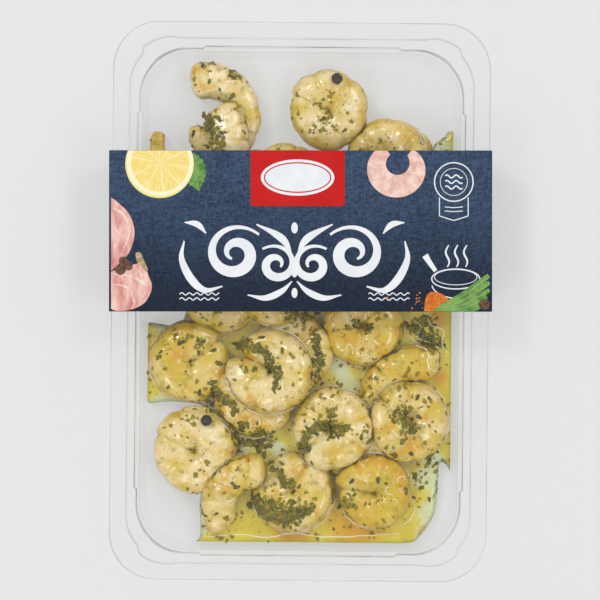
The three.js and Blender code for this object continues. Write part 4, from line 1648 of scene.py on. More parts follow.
@dataclass
class Seasoning:
    """Herbs, pepper and stems on the shrimp and in the oil, and the large flakes and peppercorns."""

    bed: ShrimpBed
    pool: bpy.types.Object
    heaps: tuple[tuple[float, float, float, float], ...] = (
        (-38, 72, 7, 0.9), (-33, 64, 5, 0.9), (-27, 90.7, 4, 0.8), (-37, 97.5, 3.5, 0.7), (-10, -83, 7, 1.0),
        (-15, -81.5, 5, 1.0), (-4, -83.5, 5, 0.9), (49.6, -10, 8, 1.0), (54, -16, 6, 1.0), (50.4, -69, 7, 0.4),
        (54, -62, 4, 0.5), (-15, -55.4, 7, 0.8), (13, -45, 4, 0.9), (-11, -24.8, 4, 0.9), (42.5, -44, 3.5, 0.9),
        (22, -9, 4, 0.8), (-47.6, -15.7, 4, 0.7), (-39.7, -17, 4, 0.7), (-34.5, -38.7, 5, 0.8), (20, -80, 5, 0.5),
        (-24.6, -50.6, 5, 0.6), (8, -25, 4, 0.6), (16.5, -12, 4, 0.5), (40, 56, 5, 0.5), (10, 74, 4, 0.5),
    )

    def ground(self, sources: Sequence[bpy.types.Object]) -> bpy.types.Object:
        """Joins copies of pieces, with the numbers that the crumbs follow.

        Args:
            sources: The pieces.

        Returns:
            The joined copy, outside every collection.
        """
        points, faces, crease = [], [], []
        count = 0
        for source in sources:
            mesh = source.data
            flat = np.empty(len(mesh.vertices) * 3, np.float32)
            mesh.vertices.foreach_get("co", flat)
            points.append(flat.reshape(-1, 3))
            near = np.zeros(len(mesh.vertices), np.float32)
            if "nook" in mesh.attributes:
                mesh.attributes["nook"].data.foreach_get("value", near)
            crease.append(near)
            faces += [tuple(v + count for v in polygon.vertices) for polygon in mesh.polygons]
            count += len(mesh.vertices)
        joined = np.vstack(points)
        mesh = bpy.data.meshes.new("seasoned_ground")
        mesh.from_pydata(joined.tolist(), [], faces)
        heap = np.zeros(count)
        for x, y, radius, amount in self.heaps:
            away = np.hypot(joined[:, 0] / MM - x, joined[:, 1] / MM - y)
            heap = np.maximum(heap, amount * smooth_step(radius, radius * 0.3, away))
        flat = joined[:, :2] / MM
        for paste in PASTES:
            for width, knots in paste.lines:
                line = smooth_line(knots, 6)
                low, high = line.min(0) - 4, line.max(0) + 4
                close = np.flatnonzero(((flat > low) & (flat < high)).all(axis=1))
                away = np.linalg.norm(flat[close][:, None] - line[None], axis=2).min(axis=1)
                heap[close] = np.maximum(heap[close], smooth_step(width * paste.fringe + 1, width * 0.6, away))
        for key, values in (("heap", heap), ("crease", np.concatenate(crease))):
            mesh.attributes.new(key, "FLOAT", "POINT").data.foreach_set("value", values.astype(np.float32))
        return bpy.data.objects.new("seasoned_ground", mesh)

    def build(self) -> None:
        """Strews every kind and lays the large flakes and peppercorns."""
        sources = [*self.bed.pieces, self.pool]
        ground = self.ground(sources)
        ground = self.ground([*sources, *(paste.build(ground) for paste in PASTES)])
        for kind in SPRINKLES:
            hold(kind.strew(ground))
        Toppings(ground).build()
        Glints(self.bed, ground).build()


SPRINKLES = (
    Sprinkle("herb_flecks", Flake("herb_fleck", 8, 1.8), HERB, 0.13, (0.26, 0.8), bare=0.46, heaps=4, seed=3),
    Sprinkle("herb_leaves", Flake("herb_leaf", 10, 1.9, seed=4), HERB_DARK, 0.014, (0.5, 1.1), heaps=20, seed=8),
    Sprinkle("herb_crumbs", Flake("herb_crumb", 5, 1.3, 0.5, 0, seed=6), HERB, 0.36, (0.09, 0.28), heaps=3, seed=15),
    Sprinkle("pepper_specks", Flake("pepper_speck", 5, 1.1, 0.9, 0), PEPPER, 0.008, (0.18, 0.42), heaps=2.5, seed=21),
    Sprinkle("herb_stems", Flake("herb_stem", 5, 6, 0.8, 0), STEM, 0.003, (0.18, 0.3), patch=14, heaps=2, seed=30),
)


@dataclass
class Glints:
    """Near-white strands that are painted highlights: along the edges where the oil clings between a shrimp and what
    lies next to it, along the given extra lines, and as short squiggles on the shrimp.
    """

    bed: ShrimpBed
    ground: bpy.types.Object
    steps: int = 150
    reach: float = 0.5
    shortest: int = 5
    longest: int = 26
    share: float = 0.85
    width: float = 0.24
    wobble: float = 0.35
    squiggles: int = 110
    seed: int = 12
    extra: tuple[tuple[Pair, ...], ...] = (
        ((46.8, -80.4), (47.2, -84), (45, -88), (41.5, -90.6)),
        ((-38, -95.6), (-24, -94.4), (-12, -95.4), (-2, -93.6), (12, -95), (30, -94.2), (41, -93)),
        ((45, -6), (49, -10), (47.4, -14), (52, -16), (56, -19), (54, -24)),
        ((51, -4), (53, -9), (58, -11), (57.6, -17), (61, -21)),
        ((44, -12), (47, -17), (51.5, -19.5), (52, -26), (57.6, -28)),
    )

    def contacts(self) -> list[np.ndarray]:
        """Finds stretches of each shrimp's outline that lie against the next.

        Returns:
            Rows of x, y and z for each stretch.
        """
        rng = random.Random(self.seed)
        tree = BVHTree.FromPolygons(
            [vertex.co for vertex in self.ground.data.vertices],
            [tuple(polygon.vertices) for polygon in self.ground.data.polygons],
        )
        found = []
        for shrimp in self.bed.laid:
            share = np.linspace(0.02, 0.98, self.steps)
            spine = shrimp.spine(share)
            along = np.gradient(spine, axis=0)
            side = np.column_stack([along[:, 1], -along[:, 0]]) * np.sign(shrimp.curl.turn)
            side /= np.linalg.norm(side, axis=1)[:, None]
            outline = spine[:, :2] + side * (shrimp.curl.girth_at(share) + self.reach)[:, None]
            run: list[tuple[float, float, float]] = []
            limit = rng.randint(self.shortest, self.longest)
            for (x, y), height in zip(outline, spine[:, 2]):
                hit = tree.ray_cast(Vector((x, y, 40)) * MM, Vector((0, 0, -1)))[0]
                close = hit is not None and 3.2 < hit.z / MM < height + 1.5
                if close and len(run) < limit:
                    run.append((x + rng.gauss(0, self.wobble * 0.3), y + rng.gauss(0, self.wobble * 0.3), hit.z / MM))
                else:
                    if len(run) >= self.shortest and rng.random() < self.share:
                        found.append(np.array(run))
                    run = []
                    limit = rng.randint(self.shortest, self.longest)
        # Painted highlights: short random squiggles of glint on the shrimp.
        squiggles = []
        for _ in range(self.squiggles):
            shrimp = rng.choice(self.bed.laid)
            x, y, _ = shrimp.spine(np.array([rng.uniform(0.05, 0.95)]))[0]
            heading = rng.uniform(0, math.tau)
            bend = rng.uniform(-0.2, 0.2)
            x, y = x + rng.uniform(-5, 5), y + rng.uniform(-5, 5)
            line = [(x, y)]
            for _ in range(rng.randint(4, 12)):
                bend += rng.uniform(-0.25, 0.25)
                heading += bend
                x, y = x + 0.55 * math.cos(heading), y + 0.55 * math.sin(heading)
                line.append((x, y))
            squiggles.append(tuple(line))
        for line in (*self.extra, *squiggles):
            flat = smooth_line(line, 6) if line in self.extra else np.array(line)
            rows = []
            for x, y in flat:
                hit = tree.ray_cast(Vector((x, y, 40)) * MM, Vector((0, 0, -1)))[0]
                if hit is not None:
                    rows.append((x + rng.gauss(0, 0.1), y + rng.gauss(0, 0.1), hit.z / MM))
            if len(rows) > 2:
                found.append(np.array(rows))
        return found

    def build(self) -> bpy.types.Object:
        """Builds all strands as one piece."""
        points: list[tuple[float, float, float]] = []
        edges = []
        widths: list[float] = []
        for line in self.contacts():
            start = len(points)
            points += [tuple(p) for p in line + np.array([0, 0, 0.06])]
            edges += [(start + i, start + i + 1) for i in range(len(line) - 1)]
            share = np.linspace(0, 1, len(line))
            girth = self.width * min(1, 0.2 + len(line) * 0.035)
            widths += list(girth * (0.25 + 0.75 * np.sin(math.pi * share) ** 0.6))
        mesh = bpy.data.meshes.new("oil_glints")
        mesh.from_pydata((np.array(points) * MM).tolist(), edges, [])
        mesh.attributes.new("girth", "FLOAT", "POINT").data.foreach_set("value", np.array(widths, np.float32))
        piece = bpy.data.objects.new("oil_glints", mesh)
        bpy.context.scene.collection.objects.link(piece)
        recipe = Recipe("oil_glints")
        sides = recipe.ask("Sides", "Int", 6)
        scale = recipe.ask("Scale", "Float", MM)
        dressing = recipe.ask("Finish", "Material", PAINTED_GLINT.material())
        curve = recipe.node("GeometryNodeMeshToCurve", None, {"Mesh": recipe.source.outputs[0]})
        spline = recipe.node("GeometryNodeCurveSplineType", {"spline_type": "CATMULL_ROM"}, {0: curve.outputs[0]})
        spline = recipe.node("GeometryNodeSetSplineResolution", None, {0: spline.outputs[0], "Resolution": 2})
        girth = recipe.node("GeometryNodeInputNamedAttribute", {"data_type": "FLOAT"}, {"Name": "girth"})
        radius = recipe.node(
            "GeometryNodeSetCurveRadius",
            None,
            {"Curve": spline.outputs[0], "Radius": recipe.math("MULTIPLY", girth.outputs[0], scale)},
        )
        section = recipe.node("GeometryNodeCurvePrimitiveCircle", None, {"Resolution": sides, "Radius": 1.0})
        tube = recipe.node(
            "GeometryNodeCurveToMesh",
            None,
            {"Curve": radius.outputs[0], "Profile Curve": section.outputs[0], "Fill Caps": True},
        )
        if "Scale" in tube.inputs:
            kept = recipe.node("GeometryNodeInputRadius")
            recipe.tree.links.new(kept.outputs[0], tube.inputs["Scale"])
        recipe.finish(tube.outputs[0], dressing)
        return hold(recipe.run(piece))


@dataclass
class Toppings:
    """The large herb flakes and the two peppercorns that the part's solids carry."""

    ground: bpy.types.Object
    flakes: tuple[tuple[float, float, float], ...] = (
        (-40, 94.5, 80), (-28, 90, 20), (-32, 67, 100), (-43.5, 67.5, 20), (-24.5, -74.5, -60), (-10.5, -83.5, 20),
        (0.5, -84, 60), (45, -60.5, 90), (28.5, -10.5, 110), (22, -9, -20), (-47.5, -17, 90), (-34.5, -20, 10),
        (-40, -37, 60), (7.5, -21, 10), (-15, -14.5, -15), (-23, -52, 0), (21.5, -71.5, -80), (47.5, -38, -40),
    )
    corns: tuple[Pair, ...] = ((14, 89.5), (-37, -48))
    corn_radius: float = 2.3
    sink: float = 0.35
    seed: int = 9

    def build(self) -> None:
        """Builds the flakes as one piece and the peppercorns as another."""
        tree = BVHTree.FromPolygons(
            [vertex.co for vertex in self.ground.data.vertices],
            [tuple(polygon.vertices) for polygon in self.ground.data.polygons],
        )
        rng = random.Random(self.seed)
        points: list[np.ndarray] = []
        faces: list[tuple[int, ...]] = []
        for x, y, degrees in self.flakes:
            hit, normal, _, _ = tree.ray_cast(Vector((x, y, 40)) * MM, Vector((0, 0, -1)))
            if hit is None:
                continue
            frame_of = normal.to_track_quat("Z", "Y").to_matrix()
            turn = math.radians(degrees)
            start = sum(len(p) for p in points)
            outline = []
            count = 14
            for step in range(count):
                angle = math.tau * step / count
                reach = 1 + rng.uniform(-0.25, 0.25)
                along, across = 1.5 * math.cos(angle) * reach, 0.72 * math.sin(angle) * reach
                u = along * math.cos(turn) - across * math.sin(turn)
                v = along * math.sin(turn) + across * math.cos(turn)
                outline.append((u, v))
            rows = []
            for height, shrink in ((-0.2, 0.85), (0.15, 1.0), (0.4, 0.7)):
                for u, v in outline:
                    bend = 0.12 * math.sin(u * 2.1 + v * 1.3)
                    rows.append(Vector((u * shrink, v * shrink, height + bend)))
            rows += [Vector((0, 0, -0.2)), Vector((0, 0, 0.46))]
            points.append(np.array([hit / MM + frame_of @ row for row in rows]))
            for side in range(count):
                after = (side + 1) % count
                faces.append((start + 3 * count, start + after, start + side))
                for level in (0, count):
                    low = start + level
                    faces.append((low + side, low + after, low + after + count, low + side + count))
                low = start + 2 * count
                faces.append((low + side, low + after, start + 3 * count + 1))
        piece = make_piece("large_flakes", np.vstack(points), faces, [HERB_LARGE])
        hold(outward(piece))
        points, faces = [], []
        for x, y in self.corns:
            hit = tree.ray_cast(Vector((x, y, 40)) * MM, Vector((0, 0, -1)))[0]
            rings, sides = 24, 36
            rows = [(0.0, 0.0, 1.0)]
            for ring in range(1, rings + 1):
                lat = math.pi * ring / (rings + 1)
                for side in range(sides):
                    lon = math.tau * side / sides
                    rows.append((math.sin(lat) * math.cos(lon), math.sin(lat) * math.sin(lon), math.cos(lat)))
            rows.append((0.0, 0.0, -1.0))
            ball = np.array(rows)
            folds = np.array([abs(noise.noise(Vector(row) * 2.3 + Vector((x, y, 0)))) for row in rows])
            ball *= (self.corn_radius * (1 - 0.3 * np.clip(0.2 - folds, 0, 1) / 0.2))[:, None]
            middle = hit.z / MM + self.corn_radius - self.sink
            start = sum(len(p) for p in points)
            points.append(ball + np.array([x, y, middle]))
            faces += [tuple(v + start for v in face) for face in tube_faces(rings, sides)]
        hold(outward(make_piece("peppercorns", np.vstack(points), faces, [CORN])))


@dataclass
class Sleeve:
    """The printed card band: one strip folded round the pack, with its ends glued underneath."""

    card: float = 0.5
    length: float = 64.0
    centre: float = 28.0
    skew: float = 0.5
    half: float = 76.1
    foot: float = 64.0
    top: float = 28.25
    edge_drop: float = 2.2
    flap_end: float = 36.0
    under_end: float = 56.0
    fold: float = 0.8
    fold_steps: int = 6
    rows: int = 17

    def place(self, flat: np.ndarray, height: np.ndarray | float) -> np.ndarray:
        """Lays points of the card's own plan on the pack.

        Args:
            flat: Rows of across and along, from the middle of the band.
            height: Heights, in millimetres.

        Returns:
            Rows of x, y and z.
        """
        flat = np.asarray(flat, float)
        turn = math.radians(self.skew)
        x = flat[:, 0] * math.cos(turn) - flat[:, 1] * math.sin(turn)
        y = flat[:, 0] * math.sin(turn) + flat[:, 1] * math.cos(turn) + self.centre
        return np.column_stack([x, y, np.broadcast_to(height, len(flat))])

    def strip(self) -> np.ndarray:
        """Gives the middle of the card's thickness, from the glue flap round to the other end.

        Returns:
            Rows of x and z, with rounded folds.
        """
        mid = self.card / 2
        side, foot, edge = self.half - mid, self.foot - mid, self.top - self.edge_drop
        path = [(self.flap_end, 3 * mid), (foot, 3 * mid), (side, edge), (side, self.top - mid)]
        path += [(-side, self.top - mid), (-side, edge), (-foot, mid), (self.under_end, mid)]
        corners = np.array(path)
        line = [corners[0]]
        for before, here, after in zip(corners, corners[1:], corners[2:]):
            ends = []
            for other in (before, after):
                length = np.hypot(*(other - here))
                ends.append(here + (other - here) * min(self.fold, length * 0.42) / length)
            for step in range(self.fold_steps + 1):
                t = step / self.fold_steps
                line.append(ends[0] * (1 - t) ** 2 + here * 2 * t * (1 - t) + ends[1] * t * t)
        return np.array([*line, corners[-1]])

    def build(self) -> bpy.types.Object:
        """Builds the band, printed outside, with bare board inside and on its cut edges.

        Returns:
            The band, in place of its solid.
        """
        middle = self.strip()
        along = np.gradient(middle, axis=0)
        along /= np.linalg.norm(along, axis=1)[:, None]
        normal = np.column_stack([along[:, 1], -along[:, 0]]) * self.card / 2
        count = len(middle)
        ring = np.vstack([middle + normal, (middle - normal)[::-1]])
        points = []
        for v in np.linspace(-self.length / 2, self.length / 2, self.rows):
            points.append(self.place(np.column_stack([ring[:, 0], np.full(2 * count, v)]), ring[:, 1]))
        faces = []
        finish = []
        for row in range(self.rows - 1):
            for i in range(2 * count):
                j = (i + 1) % (2 * count)
                low = row * 2 * count
                faces.append((low + i, low + j, low + j + 2 * count, low + i + 2 * count))
                finish.append(0 if i < count - 1 else 1)
        for row in (0, self.rows - 1):
            low = row * 2 * count
            for i in range(count - 1):
                faces.append((low + i, low + i + 1, low + 2 * count - 2 - i, low + 2 * count - 1 - i))
                finish.append(1)
        piece = make_piece(
            "sleeve_band", np.vstack(points), faces, [CARD_FACE, CARD_CORE], face_finish=finish, sharp=40
        )
        return hold(outward(piece), ["sleeve"])


class Layer:
    """Flat shapes of ink, gathered into one thin closed piece on the card."""

    def __init__(self, name: str, finish: Finish, lift: float = 0.02, body: float = 0.03) -> None:
        """Starts an empty layer.

        Args:
            name: The piece's name.
            finish: The ink.
            lift: Height of the layer's underside over the card.
            body: Thickness of the layer.
        """
        self.name = name
        self.finish = finish
        self.lift = lift
        self.body = body
        self.flat: list[Pair] = []
        self.steps: list[float] = []
        self.faces: list[tuple[int, ...]] = []
        self.rims: list[list[int]] = []

    def add_points(self, points: Sequence[Pair]) -> int:
        """Adds a shape's points, a hair higher than the last shape's, and gives the first one's number."""
        start = len(self.flat)
        level = self.steps[-1] + 0.0015 if self.steps else 0.0
        self.flat += [tuple(point) for point in points]
        self.steps += [level] * len(points)
        return start

    def area(self, outline: Sequence[Pair]) -> None:
        """Adds a filled outline, unless nothing is left of it."""
        if len(outline) < 3:
            return
        start = self.add_points(outline)
        ring = list(range(start, start + len(outline)))
        self.faces.append(tuple(ring))
        self.rims.append(ring)

    def stroke(self, path: np.ndarray, widths: np.ndarray | float) -> None:
        """Adds a stroke of changing width.

        Args:
            path: Rows of across and along.
            widths: The stroke's width at each row, or one for all.
        """
        path = np.asarray(path, float)
        along = np.gradient(path, axis=0)
        along /= np.maximum(np.linalg.norm(along, axis=1), 1e-9)[:, None]
        side = np.column_stack([-along[:, 1], along[:, 0]]) * np.broadcast_to(widths, len(path))[:, None] / 2
        start = self.add_points(np.vstack([path - side, (path + side)[::-1]]))
        count = len(path)
        last = start + 2 * count - 1
        for i in range(count - 1):
            self.faces.append((start + i, start + i + 1, last - i - 1, last - i))
        self.rims.append(list(range(start, start + 2 * count)))

    def ring(self, outer: Sequence[Pair], inner: Sequence[Pair]) -> None:
        """Adds the band between two outlines that have equal counts of points."""
        start = self.add_points([*outer, *inner])
        count = len(outer)
        for i in range(count):
            j = (i + 1) % count
            self.faces.append((start + i, start + j, start + count + j, start + count + i))
        self.rims.append(list(range(start, start + count)))
        self.rims.append(list(range(start + count, start + 2 * count)))

    def build(self, sleeve: Sleeve) -> bpy.types.Object:
        """Builds the layer on the sleeve's top."""
        count = len(self.flat)
        low = sleeve.top + self.lift + np.array(self.steps)
        points = [sleeve.place(self.flat, low), sleeve.place(self.flat, low + self.body)]
        faces = [tuple(c + count for c in face) for face in self.faces]
        faces += [face[::-1] for face in self.faces]
        for rim in self.rims:
            faces += [(a, b, b + count, a + count) for a, b in zip(rim, rim[1:] + rim[:1])]
        piece = make_piece(self.name, np.vstack(points), faces, [self.finish], sharp=30)
        return hold(outward(piece))


def arc(centre: Pair, radii: Pair, start: float, turn: float, steps: int = 40, tilt: float = 0) -> np.ndarray:
    """Gives points along an ellipse's arc.

    Args:
        centre: The ellipse's middle.
        radii: Its two radii.
        start: Where the arc starts, in degrees.
        turn: How far it runs, in degrees.
        steps: How many points it has.
        tilt: How far the ellipse is turned, in degrees.

    Returns:
        Rows of across and along.
    """
    angle = np.radians(np.linspace(start, start + turn, steps))
    x, y = radii[0] * np.cos(angle), radii[1] * np.sin(angle)
    lean = math.radians(tilt)
    turned = np.column_stack([x * math.cos(lean) - y * math.sin(lean), x * math.sin(lean) + y * math.cos(lean)])
    return turned + np.array(centre)


def smooth_line(knots: Sequence[Pair], steps: int = 10, closed: bool = False) -> np.ndarray:
    """Runs a smooth curve through knots.

    Args:
        knots: The knots, two or more numbers each.
        steps: Points from one knot to the next.
        closed: Whether the curve comes back to its start.

    Returns:
        The curve's points. A closed one doesn't repeat its first.
    """
    given = np.array(knots, float)
    count = len(given)
    if closed:
        padded = np.vstack([given[-1], given, given[:2]])
        spans = count
    else:
        padded = np.vstack([2 * given[0] - given[1], given, 2 * given[-1] - given[-2]])
        spans = count - 1
    t = np.linspace(0, 1, steps, endpoint=False)[:, None]
    line = []
    for i in range(spans):
        a, b, c, d = padded[i : i + 4]
        line.append(b + 0.5 * t * (c - a + t * (2 * a - 5 * b + 4 * c - d + t * (3 * b - a - 3 * c + d))))
    return np.vstack(line if closed else [*line, given[-1:]])


def clipped(outline: np.ndarray, axis: int, limit: float, side: int) -> np.ndarray:
    """Cuts an outline off along a straight edge.

    Args:
        outline: Rows of across and along, round a closed shape.
        axis: 0 for an edge at an across value, 1 for one at an along value.
        limit: Where the edge is.
        side: 1 keeps what lies below the edge, and -1 what lies above.

    Returns:
        The part that is kept.
    """
    kept = []
    for here, after in zip(outline, np.roll(outline, -1, axis=0)):
        inside, inside_after = side * here[axis] <= side * limit, side * after[axis] <= side * limit
        if inside:
            kept.append(here)
        if inside != inside_after:
            kept.append(here + (after - here) * (limit - here[axis]) / (after[axis] - here[axis]))
    return np.array(kept)


@dataclass
class Artwork:
    """A generic kitchen print in place of the pack's own names and marks."""

    sleeve: Sleeve
    left: float = -75.2
    head: float = 31.9
    right: float = 75.2
    foot: float = -31.9
    mirror: float = -2.4

    def cut(self, outline: np.ndarray) -> np.ndarray:
        """Cuts an outline off at the card's folds and edges."""
        for axis, limit, side in ((0, self.left, -1), (1, self.head, 1), (0, self.right, 1), (1, self.foot, -1)):
            outline = clipped(outline, axis, limit, side)
        return outline

    def build(self) -> None:
        """Builds all layers of the print."""
        self.field()
        self.fruit()
        self.bulbs()
        self.curl()
        self.spices()
        self.marks()
        self.scroll()

    def field(self) -> None:
        """Builds the red field with its bare pale plate."""
        red = Layer("print_field", RED_INK)
        knots = [(-19.9, 31.9), (-19.9, 10.7), (-19.1, 9.9), (16.7, 9.9), (17.5, 10.7), (17.5, 31.9)]
        red.area(knots)
        red.build(self.sleeve)
        plate = Layer("print_plate", WHITE_INK, lift=0.05)
        plate.area(arc((-1.2, 21.2), (14.6, 7.2), 0, 360, 65)[:-1])
        plate.build(self.sleeve)
        line = Layer("print_plate_line", RED_INK, lift=0.08)
        line.ring(arc((-1.2, 21.2), (13.4, 6.1), 0, 360, 65)[:-1], arc((-1.2, 21.2), (12.9, 5.6), 0, 360, 65)[:-1])
        line.build(self.sleeve)

    def fruit(self) -> None:
        """Builds the lemon half and its leaf."""
        leaf = Layer("print_leaf", LEAF_INK)
        spine = smooth_line([(-50, 30), (-43, 24), (-40.2, 15.8)], 12)
        along = np.gradient(spine, axis=0)
        normal = np.column_stack([-along[:, 1], along[:, 0]]) / np.linalg.norm(along, axis=1)[:, None]
        share = np.linspace(0, 1, len(spine))
        half = 5.4 * np.sin(math.pi * share**0.8) + 0.05
        teeth = half * (1 + 0.1 * (np.arange(len(spine)) % 2))
        leaf.area(self.cut(np.vstack([spine + normal * teeth[:, None], (spine - normal * teeth[:, None])[::-1]])))
        leaf.build(self.sleeve)
        veins = Layer("print_leaf_veins", LEAF_PALE, lift=0.05)
        veins.stroke(spine[2:-3], 0.35)
        for i in range(5, len(spine) - 6, 4):
            for side in (1, -1):
                tip = spine[i + 3] + normal[i] * side * half[i] * 0.8
                veins.stroke(smooth_line([spine[i], (spine[i] + tip) / 2 + normal[i] * side * 0.2, tip], 4), 0.2)
        veins.build(self.sleeve)
        lemon = Layer("print_lemon", LEMON_INK, lift=0.08)
        lemon.area(self.cut(arc(LEMON_INK.centre, (13.6, 13.6), 0, 360, 97)[:-1]))
        lemon.build(self.sleeve)

    def bulbs(self) -> None:
        """Builds the garlic cloves at the left fold."""
        skin = Layer("print_garlic", GARLIC_INK)
        knots = [(-78, 12), (-70, 9), (-66.2, 2), (-66.6, -5), (-70, -11), (-78, -15)]
        skin.area(self.cut(smooth_line(knots, 10, closed=True)))
        knots = [(-76, -30), (-77, -18), (-70, -14.6), (-63.6, -12.6), (-62.2, -12), (-60.6, -17), (-59, -22.5)]
        knots += [(-62, -28.6), (-69, -31.6)]
        skin.area(self.cut(smooth_line(knots, 10, closed=True)))
        skin.build(self.sleeve)
        pale = Layer("print_garlic_paper", GARLIC_PALE, lift=0.05)
        for path, width in (
            ([(-77, 10.5), (-70.5, 6.5), (-68, 0), (-70.5, -8)], 0.9),
            ([(-77, 4), (-73, 0), (-74, -8)], 0.6),
            ([(-75, -17), (-67, -18), (-61.5, -22), (-62.8, -27)], 1.0),
            ([(-75, -21), (-69, -22.5), (-66, -28), (-67, -31)], 0.8),
            ([(-63.5, -13.5), (-63.5, -17), (-60.6, -20.5)], 0.6),
        ):
            line = smooth_line(path, 10)
            share = np.linspace(0, 1, len(line))
            line = line[line[:, 0] > self.left + 0.6]
            pale.stroke(line, width * (0.3 + np.sin(math.pi * share[-len(line) :])))
        pale.build(self.sleeve)
        neck = Layer("print_garlic_neck", STALK_INK, lift=0.08)
        knots = [(-65.4, -9), (-63.6, -8.6), (-62, -12), (-60.6, -15.4), (-61.6, -16), (-63.4, -13.6), (-65, -12)]
        neck.area(smooth_line(knots, 8, closed=True))
        neck.build(self.sleeve)

    def curl(self) -> None:
        """Builds the plain pink shrimp in its curl."""
        body = Layer("print_shrimp", PINK_INK)
        path = arc((38.2, 25.4), (8, 7.6), 118, 292, 60)
        share = np.linspace(0, 1, len(path))
        widths = 9 * np.sin(math.pi * np.clip(share * 0.86 + 0.09, 0, 1)) ** 0.6
        along = np.gradient(path, axis=0)
        along /= np.linalg.norm(along, axis=1)[:, None]
        side = np.column_stack([-along[:, 1], along[:, 0]]) * widths[:, None] / 2
        body.area(self.cut(np.vstack([path - side, (path + side)[::-1]])))
        body.build(self.sleeve)
        lines = Layer("print_shrimp_lines", PINK_DEEP, lift=0.05)
        for i in range(10, 56, 8):
            ends = (path[i] - side[i] * 0.9, path[i] + side[i] * 0.85)
            bow = (ends[0] + ends[1]) / 2 + along[i] * 1.1
            line = smooth_line([ends[0], bow, ends[1]], 6)
            if line[:, 1].max() < self.head - 0.3:
                lines.stroke(line, 0.3)
        lines.build(self.sleeve)

    def spices(self) -> None:
        """Builds the herbs, powder and peppercorns."""
        rng = random.Random(5)
        powder = Layer("print_powder", POWDER_INK, lift=0.05)
        heap = [(49, -31.9), (49.6, -27), (51, -24.6), (54, -24.2), (57.6, -26), (60, -29), (61, -31.9)]
        powder.area(self.cut(smooth_line(heap, 8)))
        for _ in range(46):
            spot = (rng.gauss(49, 4), rng.gauss(-28.5, 1.8))
            powder.area(self.cut(arc(spot, (rng.uniform(0.12, 0.5),) * 2, 0, 360, 8)[:-1]))
        powder.build(self.sleeve)
        herbs = Layer("print_herbs", LEAF_INK, lift=0.08)
        for start, end, width in (
            ((53, -31.4), (74.8, -17.6), 2.6), ((54, -31.6), (75, -20.4), 2.4), ((56, -31.6), (75, -23.4), 2.4),
            ((58, -31.7), (74, -26), 2.2), ((62, -31.8), (73.4, -28.6), 1.9),
        ):
            line = smooth_line([start, ((start[0] + end[0]) / 2, (start[1] + end[1]) / 2 - 1.2), end], 14)
            share = np.linspace(0, 1, len(line))
            half = width / 2 * np.sin(math.pi * np.clip(share * 0.75 + 0.05, 0, 1)) ** 0.7
            along = np.gradient(line, axis=0)
            normal = np.column_stack([-along[:, 1], along[:, 0]]) / np.linalg.norm(along, axis=1)[:, None]
            blade = np.vstack([line + normal * half[:, None], (line - normal * half[:, None])[::-1]])
            herbs.area(self.cut(blade))
        herbs.build(self.sleeve)
        veins = Layer("print_herb_veins", LEAF_PALE, lift=0.11)
        for start, end in (
            ((55, -30.4), (73.6, -18.8)), ((56, -30.8), (74, -21.2)), ((58, -31), (74, -24)), ((60, -31.2), (73, -26.6)),
        ):
            middle = ((start[0] + end[0]) / 2, (start[1] + end[1]) / 2 - 1.1)
            line = smooth_line([start, middle, end], 8)
            line = line[line[:, 1] > self.foot + 0.2]
            if len(line) > 2:
                veins.stroke(line, 0.3)
        veins.build(self.sleeve)
        corns = Layer("print_corns", CORN_INK, lift=0.11)
        for spot, radius in (((-71.5, -15.4), 2.1), ((-68.4, -13.9), 1.8), ((-70.4, -11.9), 1.7), ((73, -29), 2.2)):
            corns.area(self.cut(arc(spot, (radius, radius), 0, 360, 25)[:-1]))
        corns.build(self.sleeve)

    def marks(self) -> None:
        """Builds the thin white signs: a ring with waves over a blank pennant, and a pan."""
        signs = Layer("print_signs", WHITE_INK)
        for radius, width in ((7.9, 0.5), (5.5, 0.25)):
            outer = arc((60.8, 19.5), (radius,) * 2, 0, 360, 65)[:-1]
            signs.ring(outer, arc((60.8, 19.5), (radius - width,) * 2, 0, 360, 65)[:-1])
        for shift in (-2.2, 0, 2.2):
            across = np.linspace(-3.4, 3.4, 25)
            wave = np.column_stack([60.8 + across, 19.5 + shift + 0.6 * np.sin(across * 1.7)])
            signs.stroke(wave, 0.55)
        pennant = [(55.1, 13.4), (55.1, 6), (60.8, 4.2), (66.5, 6), (66.5, 13.4)]
        for a, b in zip(pennant, pennant[1:]):
            signs.stroke(np.linspace(a, b, 3), 0.4)
        for drop, reach in ((9.6, 3.6), (8.0, 3.6)):
            signs.stroke(np.array([(60.8 - reach, drop), (60.8, drop - 0.3), (60.8 + reach, drop)]), 0.35)
        for shift, radii, width in ((0, (9.8, 4.2), 0.5), (0.7, (8.6, 3.2), 0.3)):
            outer = arc((61.6, -19 + shift), radii, 0, 360, 65)[:-1]
            inner = arc((61.6, -19 + shift), (radii[0] - width, radii[1] - width), 0, 360, 65)[:-1]
            signs.ring(outer, inner)
        signs.stroke(arc((61.6, -20.6), (9.6, 6), 190, 160, 40), 0.45)
        signs.stroke(smooth_line([(53.6, -15.9), (50.9, -12), (49.4, -9.6)], 6), np.linspace(1.6, 2.6, 13))
        for shift in (-3.6, 0, 3.6):
            steam = np.array([(61.9 + shift + 0.7 * math.sin(s * 5), -14.2 + s * 6.2) for s in np.linspace(0, 1.4, 21)])
            signs.stroke(steam, 0.45 + 0.35 * np.sin(np.linspace(0, math.pi, 21)))
        signs.build(self.sleeve)

